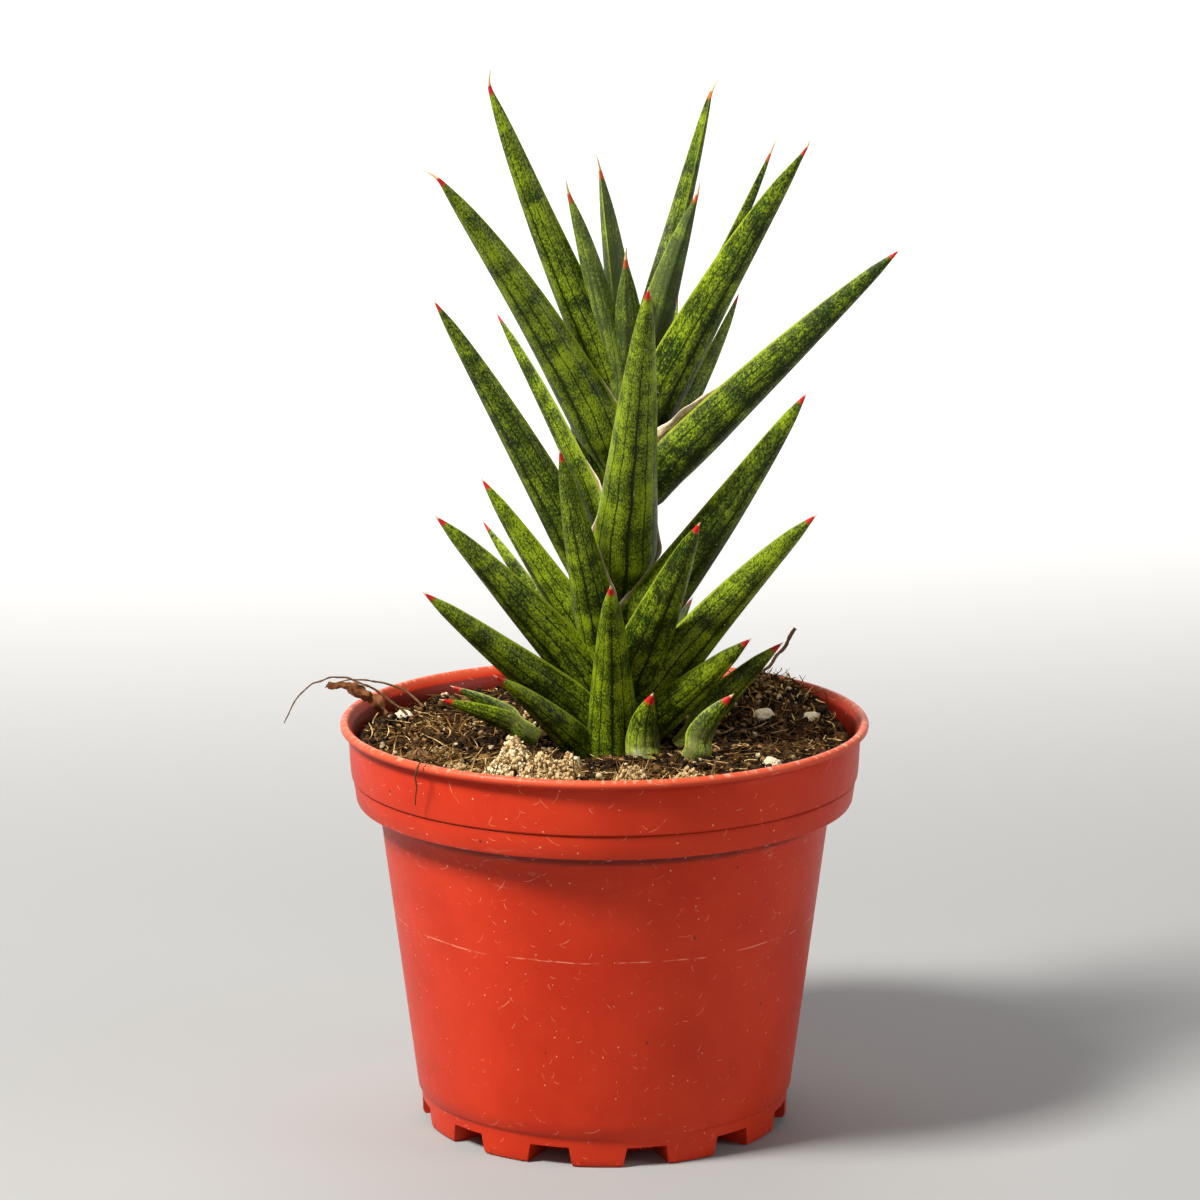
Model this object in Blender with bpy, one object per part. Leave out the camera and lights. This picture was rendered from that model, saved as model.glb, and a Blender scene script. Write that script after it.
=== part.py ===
"""A small snake plant in a plastic nursery pot: pot, potting mix, stem, separate leaves and loose debris.

Lengths are in millimetres until a mesh is made, which turns them into Blender's metres. +Z is up, the
front is -Y, and the table is at z = 0. Azimuths are in degrees from +X, seen from above.
"""

import math

import bmesh
import bpy
from mathutils import Matrix, Vector, noise

MM = 0.001
GAP = 0.35  # clearance between neighbouring solids
SOCKET_GAP = 0.6  # the same, for lumps and chips that sit in the mix

# Pot
POT_HEIGHT = 93.0
LIP_RADIUS = 60.0
POT_WALL = 1.1
LIP_HEIGHT = 2.0
LIP_BULGE = 2.0  # how far the lip's bead stands out from the rim band
BAND_HEIGHT = 19.0
BAND_TAPER = 2.4  # how much narrower the rim band is at its lower edge
BAND_SHOULDER = 2.0  # height of the sloped step under the band
BAND_STEP = 4.1  # how far the band's lower edge stands out from the body
BODY_TAPER = 9.5  # how much narrower the body is at its foot
POT_SEGMENTS = 72
FLOOR_THICKNESS = 1.3

# Drain notches around the foot
NOTCH_COUNT = 12
NOTCH_FIRST = 283.0
NOTCH_HEIGHT = 4.6
NOTCH_DEPTH = 11.0
NOTCH_WIDTH = 11.6
NOTCH_TOP_WIDTH = 9.0
DRAIN_RADIUS = 2.4

# Potting mix
MIX_BELOW_LIP = 5.0
MIX_MOUND = 7.0
MIX_MOUND_AZIMUTH = 40.0
MIX_DIP = 3.0
MIX_DIP_AZIMUTH = 235.0
MIX_ROUGHNESS = 1.6
MIX_SEGMENTS = 40
MIX_RINGS = 9

# Stem
SEAT_DEPTH = 15.0  # from the lip down to where the stem stands in the mix
SEAT_RADIUS = 9.0
STEM_LENGTH = 90.0
STEM_RADIUS = 4.0
STEM_TOP_RADIUS = 1.8
STEM_FOOT = Vector((2.0, 0.0))
STEM_LEAN = Vector((0.045, 0.0))

# Leaves
LEAF_RINGS = 11
LEAF_DEPTH_RATIO = 0.50
LEAF_CHANNEL_RATIO = 0.24
LEAF_FOOT = 0.2  # share of a leaf's length over which it widens from its foot
LEAF_FOOT_RATIO = 0.50
LEAF_TAPER = 0.65
LEAF_SPACE = 0.80  # half a leaf's width stays under this share of its distance from the stem
LEAF_UPRIGHT = 14.0  # how much more upright a leaf is where it leaves the stem
LEAF_CLEARANCE = 0.7  # a leaf is cut back this far from a higher leaf that presses on it
NEIGHBOUR_TURN = 85.0  # leaves further apart than this in azimuth or rise can't press on each other
NEIGHBOUR_RISE = 24.0
LOW_RISE = 8.0  # leaves that start lower than this may press into the potting mix

# name: azimuth, rise above the stem's seat, lean from upright, curl outwards, length, width
LEAVES = {
    "leaf_01": (222, 4, 52, -15, 41, 10.5),
    "leaf_02": (328, 4, 45, -15, 46, 13.0),
    "leaf_03": (268, 5, 27.5, 0, 51, 12.0),
    "leaf_04": (60, 5, 48, 0, 45, 10.0),
    "leaf_05": (120, 6, 48, 0, 48, 10.0),
    "leaf_06": (207, 7, 48, -14, 60, 14.0),
    "leaf_07": (331, 10, 41, -8, 73, 15.0),
    "leaf_08": (203, 13, 39, -8, 65, 15.0),
    "leaf_09": (300, 13, 33, -12, 62, 14.5),
    "leaf_10": (86, 15, 38, 0, 58, 12.0),
    "leaf_11": (150, 17, 40, -14, 51, 11.0),
    "leaf_12": (45, 20, 36, 0, 48, 12.0),
    "leaf_13": (178, 22, 31, -16, 55, 13.0),
    "leaf_14": (238, 23, 21.5, -22, 61, 12.0),
    "leaf_15": (328, 26, 35, -16, 81, 15.0),
    "leaf_16": (202, 31, 28, -4, 91, 14.0),
    "leaf_17": (278, 34, 26, -8, 93, 15.0),
    "leaf_18": (110, 34, 32, 0, 70, 12.5),
    "leaf_19": (70, 42, 30, 0, 74, 12.5),
    "leaf_20": (148, 48, 30, 0, 65, 11.5),
    "leaf_21": (335, 58, 44.5, -6, 91.5, 14.5),
    "leaf_22": (104, 60, 34, 0, 60, 12.0),
    "leaf_23": (210, 62, 31.5, 4, 91, 15.0),
    "leaf_24": (32, 62, 31.5, -26, 55.5, 11.0),
    "leaf_25": (326, 67, 30.5, 0, 92, 14.5),
    "leaf_26": (203, 78, 22.5, -16, 88, 12.5),
    "leaf_27": (30, 78, 30, -18, 73, 9.0),
    "leaf_28": (222, 83, 19, -6, 56, 9.0),
    "leaf_29": (60, 84, 28, -12, 79, 9.0),
    "leaf_30": (320, 84, 20, -8, 55, 11.0),
    "leaf_31": (120, 85, 14, -8, 55, 10.0),
    "leaf_32": (265, 85, 20, 0, 39, 9.5),
}
# name: where the shoot stands, then as above, with the rise from the potting mix
SHOOT_LEAVES = {
    "shoot_leaf_01": (-17, -3, 195, 1, 64, -10, 22, 7.0),
    "shoot_leaf_02": (-17, 4, 165, 1, 63, -10, 20, 6.5),
    "shoot_leaf_03": (8, -14, 300, 0, 16, -6, 17.0, 8.5),
    "shoot_leaf_04": (20, -19, 345, 1, 30, -6, 16, 8.0),
    "shoot_leaf_05": (21, -4, 350, 1, 40, -8, 29, 9.5),
}

# Pumice lumps in the mix: azimuth, how far in from the lip's edge, radius
PUMICE = {
    "pumice_01": (157, 9.0, 3.2),
    "pumice_02": (20, 21.0, 2.8),
    "pumice_03": (326, 15.0, 2.2),
    "pumice_04": (324, 8.5, 2.6),
    "pumice_05": (252, 37.5, 3.2),
    "pumice_06": (16, 10.5, 2.2),
}
LUMP_SUNK = 0.35  # share of a lump's radius that its centre lies under the mix
LUMP_ROUGHNESS = 0.25
# Bark chips on the mix: azimuth, how far in from the lip's edge, way they point, length
BARK = {
    "bark_01": (240, 17.0, 25, 11.0),
    "bark_02": (203, 15.0, 110, 9.0),
}
BARK_WIDTH_RATIO = 0.55
BARK_THICKNESS = 2.2
BARK_SUNK = 0.8

# A dry leaf that leans over the lip: azimuth, how far in it starts, then as a leaf of a shoot
DRY_LEAF = (172, 10.5, 1.7, 59, 24, 16, 5.0)
# Dry roots and a twig, as points: azimuth, distance out from the lip's edge, height above the lip.
# Each starts on the mix, ROOT_START further in than its first point.
ROOT_RADIUS = 0.45
ROOT_START = 6.0
ROOTS = {
    "dry_root_01": ((163, -7, 1), (164, -3, 3.5), (165, 3, 5.5), (166, 9, 4), (168, 13, 0), (170, 15, -5)),
    "dry_root_02": ((150, -6, 0), (154, -1, 2.2), (158, 4, 3.0), (161, 9, 1.5)),
    "dry_root_03": ((229, -5, -1), (229, -0.5, 1.2), (228.5, 1.6, -1), (227.5, 0.5, -5), (226.5, 0.0, -10)),
    "dry_root_04": ((306, -19, -2), (300, -12, -1.2), (295, -6, -2)),
}
TWIG_RADIUS = 0.6
TWIG = ((47, -5, 1.5), (46, -1, 5), (44, 0, 8), (42, 1, 12))


def clear_scene():
    for thing in list(bpy.data.objects):
        bpy.data.objects.remove(thing, do_unlink=True)


def material(name, color, roughness, metallic=0.0):
    """A Principled material, made once for each name."""
    made = bpy.data.materials.get(name)
    if made is None:
        made = bpy.data.materials.new(name)
        made.use_nodes = True
        made.diffuse_color = (*color, 1.0)
        shader = made.node_tree.nodes["Principled BSDF"]
        shader.inputs["Base Color"].default_value = (*color, 1.0)
        shader.inputs["Roughness"].default_value = roughness
        shader.inputs["Metallic"].default_value = metallic
    return made


def add_object(name, mesh, finish=None, origin=(0.0, 0.0, 0.0)):
    """Puts a bmesh drawn in millimetres into the scene, with its origin at a place on the object."""
    bmesh.ops.translate(mesh, verts=mesh.verts, vec=-Vector(origin))
    bmesh.ops.scale(mesh, verts=mesh.verts, vec=(MM, MM, MM))
    bmesh.ops.recalc_face_normals(mesh, faces=mesh.faces)
    data = bpy.data.meshes.new(name)
    mesh.to_mesh(data)
    mesh.free()
    data.shade_smooth()
    data.set_sharp_from_angle(angle=math.radians(35))
    made = bpy.data.objects.new(name, data)
    made.location = Vector(origin) * MM
    bpy.context.scene.collection.objects.link(made)
    if finish is None:
        made.hide_render = True
        made.display_type = "WIRE"
    else:
        data.materials.append(finish)
    return made


def combine(target, operation, other):
    """Adds a Boolean that joins or cuts the target with a hidden helper."""
    change = target.modifiers.new(operation.lower(), "BOOLEAN")
    change.operation = operation
    change.solver = "EXACT"
    change.object = other


def polar(azimuth, distance, height=0.0):
    angle = math.radians(azimuth)
    return Vector((distance * math.cos(angle), distance * math.sin(angle), height))


def smoothstep(x):
    x = min(max(x, 0.0), 1.0)
    return x * x * (3.0 - 2.0 * x)


def add_rings(mesh, rings):
    """Joins rings of points with quads and returns the rings' vertices."""
    made = [[mesh.verts.new(point) for point in ring] for ring in rings]
    for low, high in zip(made, made[1:]):
        for i in range(len(low)):
            j = (i + 1) % len(low)
            mesh.faces.new((low[i], low[j], high[j], high[i]))
    return made


def add_fan(mesh, ring, point):
    tip = mesh.verts.new(point)
    for i in range(len(ring)):
        mesh.faces.new((ring[i], ring[(i + 1) % len(ring)], tip))


def revolve(profile, segments):
    """A closed solid turned from (radius, height) points that start and end on the axis."""
    mesh = bmesh.new()
    angles = [360.0 * i / segments for i in range(segments)]
    rings = add_rings(mesh, [[polar(a, r, z) for a in angles] for r, z in profile[1:-1]])
    add_fan(mesh, rings[0], (0.0, 0.0, profile[0][1]))
    add_fan(mesh, rings[-1], (0.0, 0.0, profile[-1][1]))
    return mesh


# Pot

BAND_RADIUS = LIP_RADIUS - LIP_BULGE
BAND_BOTTOM_RADIUS = BAND_RADIUS - BAND_TAPER
NECK_RADIUS = BAND_BOTTOM_RADIUS - BAND_STEP
BASE_RADIUS = NECK_RADIUS - BODY_TAPER
SHOULDER_TOP = POT_HEIGHT - BAND_HEIGHT
SHOULDER_BOTTOM = SHOULDER_TOP - BAND_SHOULDER
INNER_SHOULDER_TOP = SHOULDER_TOP + 1.2
INNER_SHOULDER_BOTTOM = SHOULDER_BOTTOM + 0.6
BAND_SLOPE = BAND_TAPER / (POT_HEIGHT - LIP_HEIGHT - INNER_SHOULDER_TOP)


def pot_outside():
    """The pot's outline from the centre of its base to the top of its lip."""
    lip_start = POT_HEIGHT - LIP_HEIGHT
    outline = [
        (0.0, 0.0),
        (BASE_RADIUS - 0.8, 0.0),
        (BASE_RADIUS, 0.8),
        (NECK_RADIUS, SHOULDER_BOTTOM),
        (NECK_RADIUS + 0.45 * BAND_STEP, SHOULDER_BOTTOM + 0.25 * BAND_SHOULDER),
        (BAND_BOTTOM_RADIUS, SHOULDER_TOP - 0.1 * BAND_SHOULDER),
        (BAND_BOTTOM_RADIUS + 0.9, SHOULDER_TOP + 1.2),
        (BAND_RADIUS, lip_start - 0.6),
    ]
    for angle in (-60, -20, 20, 60):
        turn = math.radians(angle)
        across = 0.5 * LIP_BULGE * (1.0 + math.cos(turn))
        outline.append((BAND_RADIUS + across, lip_start + 0.5 * LIP_HEIGHT * (1.0 + math.sin(turn))))
    return outline


def pot_inside():
    """The inside outline, a wall in from the outside, from the lip down to the floor."""
    return [
        (BAND_RADIUS + 0.2, POT_HEIGHT),
        (BAND_RADIUS - POT_WALL, POT_HEIGHT - LIP_HEIGHT),
        (BAND_BOTTOM_RADIUS - POT_WALL, INNER_SHOULDER_TOP),
        (NECK_RADIUS - POT_WALL, INNER_SHOULDER_BOTTOM),
        (BASE_RADIUS - POT_WALL, FLOOR_THICKNESS),
        (0.0, FLOOR_THICKNESS),
    ]


def wedge(azimuth, inner, outer, bottom, top, bottom_width, top_width, grow):
    """The eight corners of a block that widens outwards from the axis and is narrower at its top."""
    out = polar(azimuth, 1.0)
    side = polar(azimuth + 90.0, 1.0)
    rings = []
    for distance in (inner, outer):
        corners = ((-bottom_width, bottom), (bottom_width, bottom), (top_width, top), (-top_width, top))
        wide = 0.5 * distance / BASE_RADIUS
        ring = []
        for width, height in corners:
            across = side * (width * wide + math.copysign(grow, width))
            ring.append(out * distance + across + Vector((0.0, 0.0, height)))
        rings.append(ring)
    return rings


def notch_blocks(grow, outer, bottom):
    """One block for each drain notch, larger by grow on its sides and top."""
    mesh = bmesh.new()
    for i in range(NOTCH_COUNT):
        rings = wedge(
            NOTCH_FIRST + 360.0 * i / NOTCH_COUNT,
            BASE_RADIUS - NOTCH_DEPTH - grow,
            outer,
            bottom,
            NOTCH_HEIGHT + grow,
            NOTCH_WIDTH,
            NOTCH_TOP_WIDTH,
            grow,
        )
        ends = add_rings(mesh, rings)
        mesh.faces.new(ends[0])
        mesh.faces.new(ends[1])
    return mesh


def drain_holes():
    mesh = bmesh.new()
    for i in range(NOTCH_COUNT):
        place = polar(NOTCH_FIRST + 360.0 * i / NOTCH_COUNT, BASE_RADIUS - 0.62 * NOTCH_DEPTH)
        place.z = NOTCH_HEIGHT + 0.5 * FLOOR_THICKNESS
        bmesh.ops.create_cone(
            mesh,
            cap_ends=True,
            segments=12,
            radius1=DRAIN_RADIUS,
            radius2=DRAIN_RADIUS,
            depth=3.0 * FLOOR_THICKNESS,
            matrix=Matrix.Translation(place),
        )
    return mesh


def make_pot():
    plastic = material("pot_plastic", (0.55, 0.045, 0.018), 0.42)
    pot = add_object("pot", revolve(pot_outside() + pot_inside(), POT_SEGMENTS), plastic)
    inside_wall = BASE_RADIUS - 0.5 * POT_WALL
    low = 0.5 * FLOOR_THICKNESS
    housings = add_object("notch_housings", notch_blocks(FLOOR_THICKNESS, inside_wall, low))
    notches = add_object("notches", notch_blocks(0.0, BASE_RADIUS + 5.0, -2.0))
    drains = add_object("drains", drain_holes())
    combine(pot, "UNION", housings)
    combine(pot, "DIFFERENCE", notches)
    combine(pot, "DIFFERENCE", drains)


# Potting mix

SEAT = POT_HEIGHT - SEAT_DEPTH
MIX_TOP = POT_HEIGHT - MIX_BELOW_LIP


def mix_height(x, y):
    """How high the potting mix lies at a place: a mound, a dip, small lumps and the stem's seat."""
    place = Vector((x, y, 0.0))
    reach = 0.8 * BAND_RADIUS
    mound = (place - polar(MIX_MOUND_AZIMUTH, reach)).length / (0.26 * BAND_RADIUS)
    dip = (place - polar(MIX_DIP_AZIMUTH, 0.7 * reach)).length / (0.25 * BAND_RADIUS)
    height = MIX_TOP + MIX_MOUND * math.exp(-mound * mound) - MIX_DIP * math.exp(-dip * dip)
    height += MIX_ROUGHNESS * noise.noise(Vector((x / 9.0, y / 9.0, 3.0)))
    from_stem = (place.xy - STEM_FOOT).length
    return SEAT + (height - SEAT) * smoothstep((from_stem - SEAT_RADIUS) / SEAT_RADIUS)


def make_mix():
    """A closed solid with the pot's inside shape below and an uneven top."""
    mesh = bmesh.new()
    angles = [360.0 * i / MIX_SEGMENTS for i in range(MIX_SEGMENTS)]
    well = BASE_RADIUS - NOTCH_DEPTH - 2.0 * FLOOR_THICKNESS - GAP
    over_notches = NOTCH_HEIGHT + FLOOR_THICKNESS + GAP
    slope = BODY_TAPER / (INNER_SHOULDER_BOTTOM - FLOOR_THICKNESS)
    # A ring's straight edges lie inside its circle, so the pot's flats need no more room than the gap.
    inset = POT_WALL + GAP + BAND_RADIUS * (1.0 - math.cos(math.pi / POT_SEGMENTS))
    outline = [
        (well, FLOOR_THICKNESS + GAP),
        (well, over_notches),
        (BASE_RADIUS + slope * (over_notches - FLOOR_THICKNESS) - inset, over_notches),
        (NECK_RADIUS - inset, INNER_SHOULDER_BOTTOM + GAP),
        (BAND_BOTTOM_RADIUS - inset, INNER_SHOULDER_TOP + GAP),
    ]
    rings = [[polar(a, r, z) for a in angles] for r, z in outline]
    edge = BAND_RADIUS - inset - BAND_SLOPE * (POT_HEIGHT - LIP_HEIGHT - MIX_TOP + MIX_ROUGHNESS)
    for i in range(MIX_RINGS):
        radius = edge * (1.0 - i / MIX_RINGS)
        centre = STEM_FOOT.to_3d() * (i / MIX_RINGS)
        ring = [centre + polar(a, radius) for a in angles]
        for point in ring:
            point.z = mix_height(point.x, point.y)
        rings.append(ring)
    made = add_rings(mesh, rings)
    mesh.faces.new(made[0])
    add_fan(mesh, made[-1], (STEM_FOOT.x, STEM_FOOT.y, SEAT))
    mix = add_object("potting_mix", mesh, material("potting_mix", (0.045, 0.026, 0.014), 0.95))
    return mix


# Stem

def stem_point(rise):
    return (STEM_FOOT + STEM_LEAN * rise).to_3d() + Vector((0.0, 0.0, SEAT + rise))


def stem_radius(rise):
    return STEM_RADIUS + (STEM_TOP_RADIUS - STEM_RADIUS) * rise / STEM_LENGTH


def make_stem():
    mesh = bmesh.new()
    angles = [36.0 * i for i in range(10)]
    rings = []
    for i in range(7):
        rise = GAP + (STEM_LENGTH - GAP) * i / 6
        rings.append([stem_point(rise) + polar(a, stem_radius(rise)) for a in angles])
    made = add_rings(mesh, rings)
    mesh.faces.new(made[0])
    add_fan(mesh, made[-1], stem_point(STEM_LENGTH + STEM_TOP_RADIUS))
    foot = stem_point(GAP)
    add_object("stem", mesh, material("stem", (0.20, 0.26, 0.08), 0.6), foot)


# Leaves

def leaf_profile(share):
    """A leaf's width along its length, as a share of its widest: a narrow foot, then a long taper."""
    foot = LEAF_FOOT_RATIO + (1.0 - LEAF_FOOT_RATIO) * smoothstep(share / LEAF_FOOT)
    return foot * (1.0 - share) ** LEAF_TAPER / 0.8 ** LEAF_TAPER


def leaf_section(centre, side, up, half, share, grow):
    """Eight points round a leaf: rounded below, channelled above, and rounder towards the tip."""
    depth = half * (2.0 * LEAF_DEPTH_RATIO + 0.3 * share)
    channel = half * 2.0 * LEAF_CHANNEL_RATIO * max(1.0 - share / 0.9, 0.0) - grow
    centre = centre + up * (0.45 * depth * smoothstep(share / LEAF_FOOT))
    depth += grow
    half += grow
    points = (
        (-1.0, -1.4 * grow),
        (-0.75, depth * 0.70),
        (0.0, depth),
        (0.75, depth * 0.70),
        (1.0, -1.4 * grow),
        (0.5, channel * 0.75),
        (0.0, channel),
        (-0.5, channel * 0.75),
    )
    return [centre + side * (half * across) - up * down for across, down in points]


def leaf_angle(lean, curl, share):
    """A leaf's angle from upright, part of the way along it."""
    return math.radians(lean + curl * (share - 0.5) - LEAF_UPRIGHT * math.exp(-share / 0.12))


def leaf_mesh(foot, foot_radius, azimuth, lean, curl, length, width, grow=0.0):
    """A leaf that leaves the point foot_radius outwards of foot and bends in one upright plane."""
    out = polar(azimuth, 1.0)
    side = polar(azimuth + 90.0, 1.0)
    here = foot + out * foot_radius
    mesh = bmesh.new()
    rings = []
    for i in range(LEAF_RINGS):
        share = i / LEAF_RINGS
        turn = leaf_angle(lean, curl, share)
        up = Vector((0.0, 0.0, math.sin(turn))) - out * math.cos(turn)
        room = LEAF_SPACE * (here - foot).dot(out)
        half = min(0.5 * width * leaf_profile(share), room)
        rings.append(leaf_section(here, side, up, half, share, grow))
        middle = leaf_angle(lean, curl, share + 0.5 / LEAF_RINGS)
        along = out * math.sin(middle) + Vector((0.0, 0.0, math.cos(middle)))
        if i == 0:
            rings[0] = [point - along * grow for point in rings[0]]
        here = here + along * (length / LEAF_RINGS)
    made = add_rings(mesh, rings)
    mesh.faces.new(made[0])
    add_fan(mesh, made[-1], here + along * grow)
    return mesh


def leaf_place(name):
    """Where a leaf starts, as the arguments of leaf_mesh."""
    if name in SHOOT_LEAVES:
        x, y, azimuth, rise, *shape = SHOOT_LEAVES[name]
        return Vector((x, y, mix_height(x, y) + rise)), 1.4, azimuth, *shape
    azimuth, rise, *shape = LEAVES[name]
    return stem_point(rise), stem_radius(rise) + GAP, azimuth, *shape


def press_on(leaf, other):
    """Whether the other leaf starts higher and close enough to press on this one."""
    turn, rise = LEAVES[leaf][:2]
    other_turn, other_rise = LEAVES[other][:2]
    apart = abs((turn - other_turn + 180.0) % 360.0 - 180.0)
    higher = (other_rise, other) > (rise, leaf)
    return higher and apart < NEIGHBOUR_TURN and other_rise - rise < NEIGHBOUR_RISE


def make_leaves(mix):
    green = material("leaf", (0.115, 0.20, 0.022), 0.38)
    made = {}
    spaces = {}
    for name in (*LEAVES, *SHOOT_LEAVES):
        place = leaf_place(name)
        foot, foot_radius, azimuth = place[:3]
        made[name] = add_object(name, leaf_mesh(*place), green, foot + polar(azimuth, foot_radius))
        spaces[name] = add_object(name + "_space", leaf_mesh(*place, grow=LEAF_CLEARANCE))
    for leaf in LEAVES:
        for other in LEAVES:
            if press_on(leaf, other):
                combine(made[leaf], "DIFFERENCE", spaces[other])
        if LEAVES[leaf][1] < LOW_RISE:
            combine(mix, "DIFFERENCE", spaces[leaf])
    for leaf in SHOOT_LEAVES:
        combine(mix, "DIFFERENCE", spaces[leaf])


# Loose pieces

def inside_lip(azimuth, inwards):
    """A place on the potting mix, measured in from the lip's edge."""
    place = polar(azimuth, LIP_RADIUS - inwards)
    place.z = mix_height(place.x, place.y)
    return place


def lump_mesh(centre, radius, grow):
    """A rough lump: a ball whose points are pushed in and out by noise."""
    mesh = bmesh.new()
    bmesh.ops.create_icosphere(mesh, subdivisions=2, radius=1.0)
    for vertex in mesh.verts:
        bump = noise.noise(1.7 * vertex.co + centre)
        vertex.co = centre + vertex.co * (radius * (1.0 + LUMP_ROUGHNESS * bump) + grow)
    return mesh


def make_pumice(mix):
    stone = material("pumice", (0.62, 0.55, 0.42), 0.95)
    for name, (azimuth, inwards, radius) in PUMICE.items():
        centre = inside_lip(azimuth, inwards)
        centre.z -= LUMP_SUNK * radius
        add_object(name, lump_mesh(centre, radius, 0.0), stone, centre)
        combine(mix, "DIFFERENCE", add_object(name + "_space", lump_mesh(centre, radius, SOCKET_GAP)))


def chip_mesh(centre, turn, length, grow):
    """A flat chip with an uneven outline."""
    along = polar(turn, 1.0)
    across = polar(turn + 90.0, 1.0)
    mesh = bmesh.new()
    rings = []
    for side in (-1.0, 1.0):
        ring = []
        for i in range(9):
            angle = 2.0 * math.pi * i / 9
            reach = 0.5 * length * (1.0 + 0.25 * noise.noise(Vector((i * 1.7, length, turn)))) + grow
            place = centre + along * (reach * math.cos(angle))
            place += across * (BARK_WIDTH_RATIO * reach * math.sin(angle))
            ring.append(place + Vector((0.0, 0.0, side * (0.5 * BARK_THICKNESS + grow))))
        rings.append(ring)
    low, high = add_rings(mesh, rings)
    mesh.faces.new(low)
    mesh.faces.new(high)
    return mesh


def make_bark(mix):
    bark = material("bark", (0.16, 0.085, 0.045), 0.9)
    for name, (azimuth, inwards, turn, length) in BARK.items():
        centre = inside_lip(azimuth, inwards)
        centre.z += 0.5 * BARK_THICKNESS - BARK_SUNK
        add_object(name, chip_mesh(centre, turn, length, 0.0), bark, centre)
        combine(mix, "DIFFERENCE", add_object(name + "_space", chip_mesh(centre, turn, length, SOCKET_GAP)))


def make_dry_leaf(mix):
    azimuth, inwards, rise, *shape = DRY_LEAF
    foot = inside_lip(azimuth, inwards) + Vector((0.0, 0.0, rise))
    straw = material("dry_leaf", (0.36, 0.23, 0.11), 0.85)
    add_object("dry_leaf", leaf_mesh(foot, 1.4, azimuth, *shape), straw, foot + polar(azimuth, 1.4))
    space = add_object("dry_leaf_space", leaf_mesh(foot, 1.4, azimuth, *shape, grow=LEAF_CLEARANCE))
    combine(mix, "DIFFERENCE", space)


def between(points, steps):
    """Points on a smooth curve (Catmull-Rom) through the given ones."""
    ends = [2.0 * points[0] - points[1], *points, 2.0 * points[-1] - points[-2]]
    path = []
    for before, start, end, after in zip(ends, ends[1:], ends[2:], ends[3:]):
        for i in range(steps):
            t = i / steps
            bend = (2.0 * before - 5.0 * start + 4.0 * end - after) * t
            bend += (3.0 * start - before - 3.0 * end + after) * t * t
            path.append(start + 0.5 * t * (end - before + bend))
    return [*path, points[-1]]


def make_thread(name, points, radius, finish):
    """A dry root or twig: a round curve that starts on the mix and passes through the points."""
    azimuth, outwards = points[0][:2]
    start = inside_lip(azimuth, ROOT_START - outwards)
    start.z += radius + 2.0 * GAP
    rest = [polar(turn, LIP_RADIUS + reach, POT_HEIGHT + height) for turn, reach, height in points]
    path = between([start, *rest], 3)
    data = bpy.data.curves.new(name, "CURVE")
    data.dimensions = "3D"
    data.bevel_depth = radius * MM
    data.bevel_resolution = 1
    data.use_fill_caps = True
    data.render_resolution_u = 0
    spline = data.splines.new("POLY")
    spline.points.add(len(path) - 1)
    for point, place in zip(spline.points, path):
        point.co = (*((place - start) * MM), 1.0)
    data.materials.append(finish)
    made = bpy.data.objects.new(name, data)
    made.location = start * MM
    bpy.context.scene.collection.objects.link(made)


def make_threads():
    root = material("dry_root", (0.30, 0.20, 0.12), 0.85)
    for name, points in ROOTS.items():
        make_thread(name, points, ROOT_RADIUS, root)
    make_thread("twig", TWIG, TWIG_RADIUS, material("twig", (0.22, 0.14, 0.09), 0.85))


def main():
    clear_scene()
    make_pot()
    mix = make_mix()
    make_stem()
    make_leaves(mix)
    make_pumice(mix)
    make_bark(mix)
    make_dry_leaf(mix)
    make_threads()


main()
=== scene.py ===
# %% [markdown]
# # A small snake plant in a nursery pot
#
# The object is a young, spiky snake plant. Thick channelled leaves climb a short stem in a spiral,
# and each ends in a hard red point. It stands in a thin moulded pot, filled with a dry mix of
# peat, bark and pumice. The CAD model gives every size and place. This script builds the looks
# around it: each piece is measured from its CAD node, made again in finer mesh, and given a
# finish made only of shader nodes.

import math

import bmesh
import bpy
import numpy as np
from mathutils import Matrix, Vector, noise
from mathutils.bvhtree import BVHTree


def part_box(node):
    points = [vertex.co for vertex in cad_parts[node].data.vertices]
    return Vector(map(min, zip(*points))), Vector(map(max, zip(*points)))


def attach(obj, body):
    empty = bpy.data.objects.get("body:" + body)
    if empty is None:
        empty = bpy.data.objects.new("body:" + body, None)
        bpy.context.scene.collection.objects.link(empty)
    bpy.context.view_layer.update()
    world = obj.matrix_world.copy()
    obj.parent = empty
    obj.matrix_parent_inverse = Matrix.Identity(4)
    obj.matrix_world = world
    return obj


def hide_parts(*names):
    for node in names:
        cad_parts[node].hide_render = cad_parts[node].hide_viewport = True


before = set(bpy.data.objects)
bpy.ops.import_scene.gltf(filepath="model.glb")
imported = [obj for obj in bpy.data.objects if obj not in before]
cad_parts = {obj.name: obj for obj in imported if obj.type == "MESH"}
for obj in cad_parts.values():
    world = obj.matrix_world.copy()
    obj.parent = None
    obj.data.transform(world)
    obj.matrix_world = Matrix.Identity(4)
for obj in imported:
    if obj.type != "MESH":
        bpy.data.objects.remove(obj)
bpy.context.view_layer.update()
MM = 0.001
noise.seed_set(1)  # without a fixed seed, a noise vector differs from run to run

# %% [markdown]
# ## Camera
#
# The viewer stands in front and a little above, with a long lens, so the pot's rim shows as a
# narrow ellipse and the leaves keep their true proportions. A camera looks along its own -Z, so
# it is turned up by a quarter turn and then tipped down.

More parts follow.
